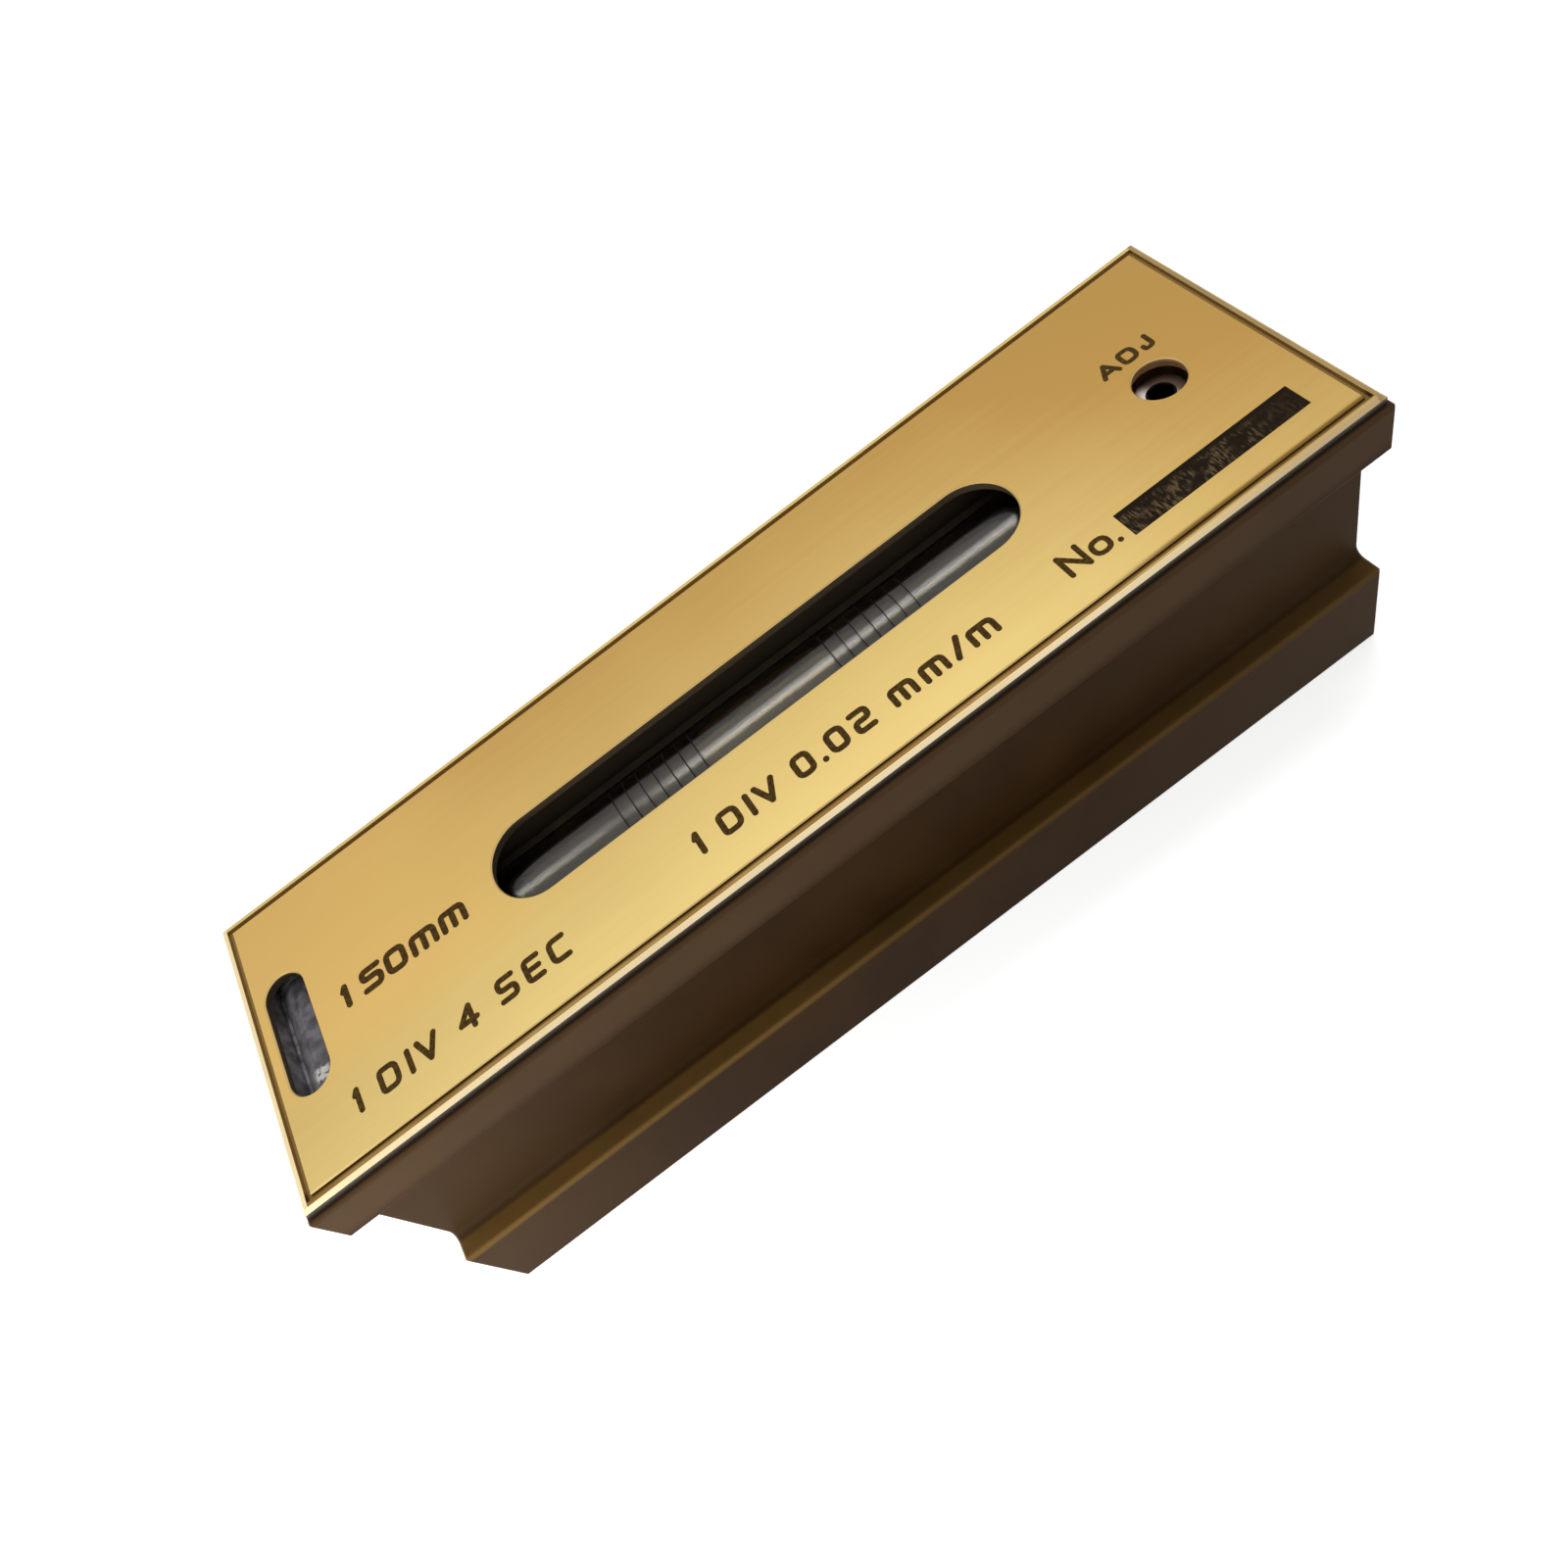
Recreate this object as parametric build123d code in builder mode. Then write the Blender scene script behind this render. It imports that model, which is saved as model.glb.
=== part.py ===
from build123d import *
from math import radians, tan
import os

os.makedirs("parts", exist_ok=True)

# A bench level: a cast-iron block with a ground, grooved base, a graduated main vial along its
# length, a small cross vial at one end, and a screw that tilts the main vial to set it.
# X runs along the block, Y across it and Z up. The origin is the centre of the base.

# The block and its side channels
body_length = 150.0
body_width = 45.0
overall_height = 45.0
flange_height = 14.7
lip_height = 7.0
channel_depth = 4.15
channel_fillet = 1.2
edge_round = 0.6
end_chamfer = 0.4

# The groove in the base, with a relief slot at its root
v_width = 20.0
v_angle = 120.0
relief_width = 2.4
relief_depth = 0.8

# The cover, and the name plate that lies in it
cover_inset = 0.8
cover_floor = 1.0
plate_thickness = 0.5
rim_width = 1.0
rim_bevel = 0.45
groove_width = 0.6
plate_bevel = 0.15
window_end_inset = 36.4
window_width = 11.7
cross_window_length = 17.8
cross_window_width = 5.7
adj_hole_radius = 3.3
cover_window_margin = 0.3

# The black number field, let into the name plate
field_length = 24.5
field_width = 4.1
field_depth = 0.2
field_end_inset = 18.65
field_side_inset = 8.15
field_gap = 0.03

# The cover's countersunk screws
cover_screw_radius = 1.25
cover_head_radius = 2.0
cover_screw_length = 5.0
cover_screw_end_inset = 16.2
cover_screw_side_inset = 4.6
cover_slot_width = 0.5
cover_slot_depth = 0.35

# The main vial, its spirit and its bubble
vial_radius = 6.0
vial_wall = 1.2
vial_end_inset = 33.0
vial_disc_thickness = 1.5
vial_top_gap = 1.1
bubble_length = 20.5
bubble_width = 6.6
bubble_depth = 1.9
bubble_bevel = 1.0

# The carrier that holds the main vial
cement_gap = 0.6
cement_length = 3.5
cement_inset = 0.5
tube_wall = 1.0
tube_opening_rise = 3.0
spigot_length = 3.0
spigot_end_gap = 0.5
flange_thickness = 2.0
end_pin_radius = 0.75
end_pin_drop = 3.0

# The pivot at the carrier's fixed end
pivot_offset = 4.0
pivot_lug_radius = 3.0
pivot_lug_thickness = 5.0
pivot_pin_radius = 1.5
block_end_gap = 0.5
block_length = 11.0
block_side_gap = 0.4
block_slot_floor = 4.0
block_screw_radius = 1.25
block_head_radius = 2.25
block_head_height = 2.5
block_head_recess = 0.3
block_screw_inset = 3.3
block_screw_grip = 8.0
block_key_flats = 2.0

# The adjusting screw, its washer and spring
adj_end_inset = 14.1
adj_screw_radius = 2.0
adj_head_radius = 3.5
adj_head_height = 4.0
adj_head_gap = 0.9
adj_key_flats = 3.0
adj_key_depth = 2.4
adj_screw_grip = 7.4
adj_hole_spare = 2.6
washer_radius = 4.4
washer_thickness = 1.0
tongue_radius = 6.0
tongue_thickness = 4.0
tongue_hole_clearance = 0.5
spring_wire_width = 0.9
spring_wire_height = 0.6
spring_mean_radius = 3.3
spring_turns = 5
spring_seat_depth = 4.0
spring_seat_gap = 0.6

# The pocket in the block
pocket_side_gap = 1.6
pocket_floor_gap = 2.8
pocket_corner = 4.0
pocket_end_gap = 0.8
pocket_adj_gap = 2.6

# The cross vial and its cradle
cross_end_inset = 6.7
cross_radius = 3.2
cross_wall = 0.7
cross_side_inset = 13.0
cross_disc_thickness = 1.0
cross_top_gap = 0.9
cross_bubble_length = 5.2
cross_bubble_width = 3.0
cross_bubble_depth = 1.1
cross_bubble_bevel = 0.6
cross_cement_gap = 0.3
cross_cement_length = 2.2
cross_cement_inset = 1.2
cradle_wall = 0.7
cradle_end_wall = 1.1
cradle_end_gap = 0.4
cradle_floor = 2.4
cradle_lug_length = 3.6
cradle_lug_drop = 3.2
cradle_corner = 1.5
cradle_gap = 0.3
cradle_screw_radius = 1.0
cradle_head_radius = 1.7
cradle_screw_length = 7.0

# Screw heads: the countersinks' angle, and a socket head's bevel as a share of its height
countersink_angle = 90.0
head_bevel_share = 0.08

# Fits: running for what turns, sliding for what is assembled by hand, bonded for cement and glass
running_gap = 0.02
sliding_gap = 0.15
bond_gap = 0.03
thread_gap = 0.05
seat_gap = 0.05
tip_gap = 1.0

# Places and sizes that follow from the ones above
half_width = body_width / 2
half_length = body_length / 2
body_top = overall_height - cover_floor - plate_thickness
web_half = half_width - channel_depth
lip_underside = body_top - lip_height
v_half = v_width / 2
v_slope = tan(radians(90 - v_angle / 2))
relief_half = relief_width / 2
v_root = (v_half - relief_half) * v_slope
relief_top = v_root + relief_depth

cover_length = body_length - 2 * cover_inset
cover_width = body_width - 2 * cover_inset
recess_length = cover_length - 2 * rim_width
recess_width = cover_width - 2 * rim_width
plate_length = recess_length - 2 * groove_width
plate_width = recess_width - 2 * groove_width
plate_base = body_top + cover_floor
window_length = body_length - 2 * window_end_inset
field_x = half_length - field_end_inset
field_y = field_side_inset - half_width
cover_screw_x = cover_length / 2 - cover_screw_end_inset
cover_screw_y = cover_width / 2 - cover_screw_side_inset

vial_z = body_top - vial_top_gap - vial_radius
vial_bore = vial_radius - vial_wall
vial_half = half_length - vial_end_inset
vial_end = vial_half + vial_disc_thickness

tube_bore = vial_radius + cement_gap
tube_radius = tube_bore + tube_wall
tube_half = vial_end + spigot_end_gap + spigot_length
tube_opening = vial_z + tube_opening_rise
flange_end = tube_half + flange_thickness
end_pin_z = vial_z - end_pin_drop
end_pin_x = tube_half - spigot_length / 2

pivot_x = -flange_end - pivot_offset
block_face = -flange_end - block_end_gap
block_back = block_face - block_length
block_top = vial_z + pivot_lug_radius
block_screw_x = block_back + block_screw_inset

adj_x = half_length - adj_end_inset
pocket_half = tube_radius + pocket_side_gap
pocket_floor = vial_z - tube_radius - pocket_floor_gap
pocket_start = block_back - pocket_end_gap
pocket_end = adj_x + tongue_radius + pocket_adj_gap
pocket_length = pocket_end - pocket_start
pocket_middle = (pocket_end + pocket_start) / 2
block_half = pocket_half - block_side_gap
block_slot_half = pivot_lug_thickness / 2 + sliding_gap
block_screw_y = (block_half + block_slot_half) / 2
block_seat = block_top - block_head_height - block_head_recess

adj_head_top = body_top - adj_head_gap
adj_seat = adj_head_top - adj_head_height
washer_base = adj_seat - washer_thickness
tongue_top = washer_base - seat_gap
tongue_base = tongue_top - tongue_thickness
tongue_hole = adj_screw_radius + tongue_hole_clearance
spring_base = pocket_floor - spring_seat_depth
spring_seat_radius = spring_mean_radius + spring_wire_width / 2 + spring_seat_gap
spring_height = tongue_base - spring_base
adj_screw_end = spring_base - adj_screw_grip

cross_x = cross_end_inset - half_length
cross_z = body_top - cross_top_gap - cross_radius
cross_bore = cross_radius - cross_wall
cross_half = half_width - cross_side_inset
cross_end = cross_half + cross_disc_thickness
trough_radius = cross_radius + cross_cement_gap
trough_half = cross_end + cradle_end_gap
cradle_half_width = trough_radius + cradle_wall
cradle_body_half = trough_half + cradle_end_wall
cradle_half_length = cradle_body_half + cradle_lug_length
cradle_base = cross_z - trough_radius - cradle_floor
cradle_lug_top = cross_z - cradle_lug_drop
cradle_screw_y = cradle_body_half + cradle_lug_length / 2


def flat_screw(radius, head_radius, length, slot_width, slot_depth):
    """A slotted screw with a countersunk head: its flat top lies at the origin."""
    cone_height = head_radius - radius
    with BuildPart() as screw:
        with BuildSketch(Plane.XZ):
            with BuildLine():
                Polyline((0, 0), (head_radius, 0), (radius, -cone_height), (radius, -length),
                         (0, -length), close=True)
            make_face()
        revolve(axis=Axis.Z)
        with BuildSketch():
            Rectangle(2 * head_radius, slot_width)
        extrude(amount=-slot_depth, mode=Mode.SUBTRACT)
    return screw.part


def cap_screw(radius, head_radius, head_height, length, key_flats, key_depth):
    """A socket-head screw: the underside of its head lies at the origin."""
    with BuildPart() as screw:
        with BuildSketch():
            Circle(head_radius)
        extrude(amount=head_height)
        with BuildSketch():
            Circle(radius)
        extrude(amount=-length)
        with BuildSketch(Plane.XY.offset(head_height)):
            RegularPolygon(key_flats / 2, side_count=6, major_radius=False)
        extrude(amount=-key_depth, mode=Mode.SUBTRACT)
        rim = screw.edges().filter_by(GeomType.CIRCLE).group_by(Axis.Z)[-1]
        chamfer(rim, length=head_height * head_bevel_share)
    return screw.part


def save(piece, name):
    """Label a finished piece and write its STEP file."""
    piece.part.label = name
    export_step(piece.part, f"parts/{name}.step")


# The block: cast iron, its side channels run the full length as finger grips
with BuildPart() as body:
    with BuildSketch(Plane.YZ):
        with BuildLine():
            Polyline((0, relief_top), (relief_half, relief_top), (relief_half, v_root), (v_half, 0))
            FilletPolyline(
                (v_half, 0),
                (half_width, 0),
                (half_width, flange_height),
                (web_half, flange_height),
                (web_half, lip_underside),
                (half_width, lip_underside),
                (half_width, body_top),
                (0, body_top),
                radius=[edge_round, edge_round, channel_fillet, channel_fillet, edge_round, edge_round],
            )
            mirror(about=Plane.YZ)
        make_face()
    extrude(amount=half_length, both=True)
    chamfer(body.edges().group_by(Axis.X)[0] + body.edges().group_by(Axis.X)[-1], length=end_chamfer)
    with BuildSketch(Plane.XY.offset(pocket_floor)):
        with Locations((pocket_middle, 0)):
            RectangleRounded(pocket_length, 2 * pocket_half, pocket_corner)
    extrude(amount=body_top - pocket_floor, mode=Mode.SUBTRACT)
    with BuildSketch(Plane.XY.offset(cradle_base)):
        with Locations((cross_x, 0)):
            RectangleRounded(
                2 * (cradle_half_width + cradle_gap), 2 * (cradle_half_length + cradle_gap), cradle_corner
            )
    extrude(amount=body_top - cradle_base, mode=Mode.SUBTRACT)
    with Locations((adj_x, 0, pocket_floor)):
        CounterBoreHole(
            adj_screw_radius + thread_gap,
            spring_seat_radius,
            spring_seat_depth,
            pocket_floor - adj_screw_end + adj_hole_spare,
        )
    with Locations((block_screw_x, 0, pocket_floor)):
        with GridLocations(0, 2 * block_screw_y, 1, 2):
            Hole(block_screw_radius + bond_gap, block_screw_grip + tip_gap)
    with Locations((cross_x, 0, cradle_base)):
        with GridLocations(0, 2 * cradle_screw_y, 1, 2):
            Hole(cradle_screw_radius + bond_gap, cradle_base - cradle_lug_top + cradle_screw_length + tip_gap)
    with Locations((0, 0, body_top)):
        with GridLocations(2 * cover_screw_x, 2 * cover_screw_y, 2, 2):
            Hole(cover_screw_radius + bond_gap, cover_screw_length + tip_gap)
save(body, "body")

# The cover: a flat tray with a bevelled rim, screwed down on the block's top
with BuildPart() as top_cover:
    with BuildSketch(Plane.XY.offset(body_top)):
        Rectangle(cover_length, cover_width)
    extrude(amount=overall_height - body_top)
    chamfer(top_cover.edges().group_by(Axis.Z)[-1], length=rim_bevel)
    with BuildSketch(Plane.XY.offset(plate_base)):
        Rectangle(recess_length, recess_width)
    extrude(amount=plate_thickness, mode=Mode.SUBTRACT)
    with BuildSketch(Plane.XY.offset(body_top)):
        SlotOverall(window_length + 2 * cover_window_margin, window_width + 2 * cover_window_margin)
        with Locations((cross_x, 0)):
            SlotOverall(
                cross_window_length + 2 * cover_window_margin,
                cross_window_width + 2 * cover_window_margin,
                rotation=90,
            )
        with Locations((adj_x, 0)):
            Circle(adj_hole_radius + cover_window_margin)
    extrude(amount=cover_floor, mode=Mode.SUBTRACT)
    with Locations((0, 0, plate_base)):
        with GridLocations(2 * cover_screw_x, 2 * cover_screw_y, 2, 2):
            CounterSinkHole(
                cover_screw_radius + sliding_gap,
                cover_head_radius + bond_gap,
                cover_floor,
                counter_sink_angle=countersink_angle,
            )
save(top_cover, "top_cover")

# The name plate: thin engraved sheet, bonded into the cover's tray over the screws
with BuildPart() as name_plate:
    with BuildSketch(Plane.XY.offset(plate_base)):
        Rectangle(plate_length, plate_width)
        SlotOverall(window_length, window_width, mode=Mode.SUBTRACT)
        with Locations((cross_x, 0)):
            SlotOverall(cross_window_length, cross_window_width, rotation=90, mode=Mode.SUBTRACT)
        with Locations((adj_x, 0)):
            Circle(adj_hole_radius, mode=Mode.SUBTRACT)
    extrude(amount=plate_thickness)
    chamfer(name_plate.edges().group_by(Axis.Z)[-1], length=plate_bevel)
    with BuildSketch(Plane.XY.offset(overall_height)):
        with Locations((field_x, field_y)):
            Rectangle(field_length, field_width)
    extrude(amount=-field_depth, mode=Mode.SUBTRACT)
save(name_plate, "name_plate")

# The number field: a black slip let in flush with the name plate, left plain
with BuildPart() as number_field:
    with BuildSketch(Plane.XY.offset(overall_height - field_depth)):
        with Locations((field_x, field_y)):
            Rectangle(field_length - 2 * field_gap, field_width - 2 * field_gap)
    extrude(amount=field_depth)
save(number_field, "number_field")

# Four screws hold the cover down, their heads hidden by the name plate
cover_screw = flat_screw(
    cover_screw_radius, cover_head_radius, cover_screw_length, cover_slot_width, cover_slot_depth
)
with BuildPart() as cover_screws:
    with Locations((0, 0, plate_base - bond_gap)):
        with GridLocations(2 * cover_screw_x, 2 * cover_screw_y, 2, 2):
            add(cover_screw)
save(cover_screws, "cover_screws")

# The main vial: a glass tube, ground inside, with a disc cemented on each end
with BuildPart() as main_vial:
    with BuildSketch(Plane.YZ):
        with Locations((0, vial_z)):
            Circle(vial_radius)
            Circle(vial_bore, mode=Mode.SUBTRACT)
    extrude(amount=vial_half, both=True)
save(main_vial, "main_vial")

with BuildPart() as main_vial_discs:
    with BuildSketch(Plane.YZ.offset(vial_half), Plane.YZ.offset(-vial_end)):
        with Locations((0, vial_z)):
            Circle(vial_radius)
    extrude(amount=vial_disc_thickness)
save(main_vial_discs, "main_vial_discs")

# The spirit that fills the main vial, with its bubble as a hollow under the top of the bore
with BuildPart() as main_bubble:
    with BuildSketch(Plane.XY.offset(vial_z + vial_bore - bubble_depth)):
        SlotOverall(bubble_length, bubble_width)
    extrude(amount=2 * bubble_depth)
    chamfer(main_bubble.edges().group_by(Axis.Z)[0], length=bubble_bevel)

with BuildPart() as main_spirit:
    with BuildSketch(Plane.YZ):
        with Locations((0, vial_z)):
            Circle(vial_bore - bond_gap)
    extrude(amount=vial_half, both=True)
    add(main_bubble.part, mode=Mode.SUBTRACT)
save(main_spirit, "main_spirit")

# The carrier tube: a brass tube open along its top, so that the vial shows through the window
with BuildPart() as carrier_tube:
    with BuildSketch(Plane.YZ):
        with Locations((0, vial_z)):
            Circle(tube_radius)
            Circle(tube_bore, mode=Mode.SUBTRACT)
        with Locations((0, tube_opening)):
            Rectangle(2 * tube_radius, tube_radius, align=(Align.CENTER, Align.MIN), mode=Mode.SUBTRACT)
    extrude(amount=tube_half, both=True)
    with BuildSketch(Plane.XZ):
        with Locations((end_pin_x, end_pin_z), (-end_pin_x, end_pin_z)):
            Circle(end_pin_radius + running_gap)
    extrude(amount=tube_radius, both=True, mode=Mode.SUBTRACT)
save(carrier_tube, "carrier_tube")

# Two beds of setting cement hold the vial in the tube
with BuildPart() as vial_cement:
    with BuildSketch(
        Plane.YZ.offset(vial_half - cement_inset - cement_length), Plane.YZ.offset(cement_inset - vial_half)
    ):
        with Locations((0, vial_z)):
            Circle(tube_bore - bond_gap)
            Circle(vial_radius + bond_gap, mode=Mode.SUBTRACT)
        with Locations((0, tube_opening)):
            Rectangle(2 * tube_radius, tube_radius, align=(Align.CENTER, Align.MIN), mode=Mode.SUBTRACT)
    extrude(amount=cement_length)
save(vial_cement, "vial_cement")

# The pivot end: a turned plug in the tube with a lug that turns on the pivot pin
with BuildPart() as pivot_end:
    with BuildSketch(Plane.YZ.offset(-tube_half)):
        with Locations((0, vial_z)):
            Circle(tube_bore - running_gap)
    extrude(amount=spigot_length)
    with BuildSketch(Plane.YZ.offset(-flange_end)):
        with Locations((0, vial_z)):
            Circle(tube_radius)
    extrude(amount=flange_thickness)
    with BuildSketch(Plane.XY.offset(tube_opening)):
        with Locations((-tube_half, 0)):
            Rectangle(2 * (flange_thickness + spigot_length), 2 * tube_radius)
    extrude(amount=tube_radius, mode=Mode.SUBTRACT)
    with BuildSketch(Plane.XZ):
        with Locations((pivot_x, vial_z)):
            Circle(pivot_lug_radius)
            Rectangle(pivot_offset, 2 * pivot_lug_radius, align=(Align.MIN, Align.CENTER))
    extrude(amount=pivot_lug_thickness / 2, both=True)
    with BuildSketch(Plane.XZ):
        with Locations((pivot_x, vial_z)):
            Circle(pivot_pin_radius + running_gap)
        with Locations((-end_pin_x, end_pin_z)):
            Circle(end_pin_radius + running_gap)
    extrude(amount=tube_radius, both=True, mode=Mode.SUBTRACT)
save(pivot_end, "pivot_end")

# The adjusting end: the same plug, with a flat tongue that the adjusting screw holds down
with BuildPart() as adjust_end:
    with BuildSketch(Plane.YZ.offset(tube_half - spigot_length)):
        with Locations((0, vial_z)):
            Circle(tube_bore - running_gap)
    extrude(amount=spigot_length)
    with BuildSketch(Plane.YZ.offset(tube_half)):
        with Locations((0, vial_z)):
            Circle(tube_radius)
    extrude(amount=flange_thickness)
    with BuildSketch(Plane.XY.offset(tube_opening)):
        with Locations((tube_half, 0)):
            Rectangle(2 * (flange_thickness + spigot_length), 2 * tube_radius)
    extrude(amount=tube_radius, mode=Mode.SUBTRACT)
    with BuildSketch(Plane.XY.offset(tongue_base)):
        with Locations((adj_x, 0)):
            Circle(tongue_radius)
            Rectangle(adj_x - flange_end, 2 * tongue_radius, align=(Align.MAX, Align.CENTER))
    extrude(amount=tongue_thickness)
    with BuildSketch(Plane.XY.offset(tongue_base)):
        with Locations((adj_x, 0)):
            Circle(tongue_hole)
    extrude(amount=tongue_thickness, mode=Mode.SUBTRACT)
    with BuildSketch(Plane.XZ):
        with Locations((end_pin_x, end_pin_z)):
            Circle(end_pin_radius + running_gap)
    extrude(amount=tube_radius, both=True, mode=Mode.SUBTRACT)
save(adjust_end, "adjust_end")

# Cross pins lock both ends in the tube, cut off flush inside its wall
with BuildPart() as end_pins:
    with BuildSketch(Plane.XZ):
        with Locations((end_pin_x, end_pin_z), (-end_pin_x, end_pin_z)):
            Circle(end_pin_radius)
    extrude(amount=tube_bore, both=True)
save(end_pins, "end_pins")

# The pivot block: a slotted steel block on the pocket's floor that holds the pivot pin
with BuildPart() as pivot_block:
    with BuildSketch(Plane.XY.offset(pocket_floor)):
        with Locations((block_face, 0)):
            Rectangle(block_length, 2 * block_half, align=(Align.MAX, Align.CENTER))
    extrude(amount=block_top - pocket_floor)
    fillet(pivot_block.edges().filter_by(Axis.Z).group_by(Axis.X)[0], radius=pocket_corner)
    with BuildSketch(Plane.XY.offset(pocket_floor + block_slot_floor)):
        with Locations((block_face, 0)):
            Rectangle(2 * block_length, 2 * block_slot_half)
    extrude(amount=block_top - pocket_floor, mode=Mode.SUBTRACT)
    with BuildSketch(Plane.XZ):
        with Locations((pivot_x, vial_z)):
            Circle(pivot_pin_radius + running_gap)
    extrude(amount=block_half, both=True, mode=Mode.SUBTRACT)
    with Locations((block_screw_x, 0, block_top)):
        with GridLocations(0, 2 * block_screw_y, 1, 2):
            CounterBoreHole(
                block_screw_radius + sliding_gap, block_head_radius + sliding_gap, block_top - block_seat
            )
save(pivot_block, "pivot_block")

# Two socket screws hold the pivot block, sunk below its top
block_screw = cap_screw(
    block_screw_radius,
    block_head_radius,
    block_head_height,
    block_seat - pocket_floor + block_screw_grip,
    block_key_flats,
    block_head_height / 2,
)
with BuildPart() as pivot_block_screws:
    with Locations((block_screw_x, 0, block_seat)):
        with GridLocations(0, 2 * block_screw_y, 1, 2):
            add(block_screw)
save(pivot_block_screws, "pivot_block_screws")

# The pivot pin: a ground dowel, held in the block and free in the lug
with BuildPart() as pivot_pin:
    with BuildSketch(Plane.XZ):
        with Locations((pivot_x, vial_z)):
            Circle(pivot_pin_radius)
    extrude(amount=block_half - sliding_gap, both=True)
save(pivot_pin, "pivot_pin")

# The adjusting screw: a fine-thread socket screw, reached through the hole in the plate
with BuildPart() as adj_screw:
    with Locations((adj_x, 0, adj_seat)):
        add(
            cap_screw(
                adj_screw_radius,
                adj_head_radius,
                adj_head_height,
                adj_seat - adj_screw_end,
                adj_key_flats,
                adj_key_depth,
            )
        )
save(adj_screw, "adj_screw")

# The washer between the screw's head and the tongue
with BuildPart() as adj_washer:
    with BuildSketch(Plane.XY.offset(washer_base)):
        with Locations((adj_x, 0)):
            Circle(washer_radius)
            Circle(adj_screw_radius + running_gap, mode=Mode.SUBTRACT)
    extrude(amount=washer_thickness)
save(adj_washer, "adj_washer")

# The spring that lifts the tongue against the washer: a coil of flat wire, its ends ground flat
with BuildPart() as adj_spring:
    with BuildLine():
        coil = Helix(
            pitch=spring_height / spring_turns,
            height=spring_height,
            radius=spring_mean_radius,
            center=(adj_x, 0, spring_base),
        )
    with BuildSketch(Plane(origin=coil @ 0, x_dir=(1, 0, 0), z_dir=coil % 0)):
        Rectangle(spring_wire_width, spring_wire_height)
    sweep(path=coil, is_frenet=True)
    with BuildSketch(Plane.XY.offset(spring_base + bond_gap)):
        with Locations((adj_x, 0)):
            Rectangle(4 * spring_mean_radius, 4 * spring_mean_radius)
    extrude(amount=spring_height - 2 * bond_gap, mode=Mode.INTERSECT)
save(adj_spring, "adj_spring")

# The cross vial's cradle: a trough with a lug at each end, on the floor of its own pocket
with BuildPart() as cross_cradle:
    with BuildSketch(Plane.XY.offset(cradle_base)):
        with Locations((cross_x, 0)):
            RectangleRounded(2 * cradle_half_width, 2 * cradle_half_length, cradle_corner)
    extrude(amount=cradle_lug_top - cradle_base)
    with BuildSketch(Plane.XY.offset(cradle_base)):
        with Locations((cross_x, 0)):
            Rectangle(2 * cradle_half_width, 2 * cradle_body_half)
    extrude(amount=cross_z - cradle_base)
    with BuildSketch(Plane.XZ):
        with Locations((cross_x, cross_z)):
            Circle(trough_radius)
    extrude(amount=trough_half, both=True, mode=Mode.SUBTRACT)
    with Locations((cross_x, 0, cradle_lug_top)):
        with GridLocations(0, 2 * cradle_screw_y, 1, 2):
            CounterSinkHole(
                cradle_screw_radius + sliding_gap,
                cradle_head_radius + bond_gap,
                counter_sink_angle=countersink_angle,
            )
save(cross_cradle, "cross_cradle")

cradle_screw = flat_screw(
    cradle_screw_radius, cradle_head_radius, cradle_screw_length, cover_slot_width, cover_slot_depth
)
with BuildPart() as cross_cradle_screws:
    with Locations((cross_x, 0, cradle_lug_top - bond_gap)):
        with GridLocations(0, 2 * cradle_screw_y, 1, 2):
            add(cradle_screw)
save(cross_cradle_screws, "cross_cradle_screws")

# The cross vial: a short tube with a disc on each end, its spirit and a small bubble
with BuildPart() as cross_vial:
    with BuildSketch(Plane.XZ):
        with Locations((cross_x, cross_z)):
            Circle(cross_radius)
            Circle(cross_bore, mode=Mode.SUBTRACT)
    extrude(amount=cross_half, both=True)
save(cross_vial, "cross_vial")

with BuildPart() as cross_vial_discs:
    with BuildSketch(Plane.XZ.offset(cross_half), Plane.XZ.offset(-cross_end)):
        with Locations((cross_x, cross_z)):
            Circle(cross_radius)
    extrude(amount=cross_disc_thickness)
save(cross_vial_discs, "cross_vial_discs")

with BuildPart() as cross_bubble:
    with BuildSketch(Plane.XY.offset(cross_z + cross_bore - cross_bubble_depth)):
        with Locations((cross_x, 0)):
            SlotOverall(cross_bubble_length, cross_bubble_width, rotation=90)
    extrude(amount=2 * cross_bubble_depth)
    chamfer(cross_bubble.edges().group_by(Axis.Z)[0], length=cross_bubble_bevel)

with BuildPart() as cross_spirit:
    with BuildSketch(Plane.XZ):
        with Locations((cross_x, cross_z)):
            Circle(cross_bore - bond_gap)
    extrude(amount=cross_half, both=True)
    add(cross_bubble.part, mode=Mode.SUBTRACT)
save(cross_spirit, "cross_spirit")

# Two beds of setting cement hold the cross vial in its trough
with BuildPart() as cross_cement:
    with BuildSketch(
        Plane.XZ.offset(cross_half - cross_cement_inset - cross_cement_length),
        Plane.XZ.offset(cross_cement_inset - cross_half),
    ):
        with Locations((cross_x, cross_z)):
            Circle(trough_radius - bond_gap)
            Circle(cross_radius + bond_gap, mode=Mode.SUBTRACT)
            Rectangle(
                2 * trough_radius, trough_radius, align=(Align.CENTER, Align.MIN), mode=Mode.SUBTRACT
            )
    extrude(amount=cross_cement_length)
save(cross_cement, "cross_cement")
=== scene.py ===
import math

import bpy
import numpy as np
from mathutils import Matrix


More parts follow.
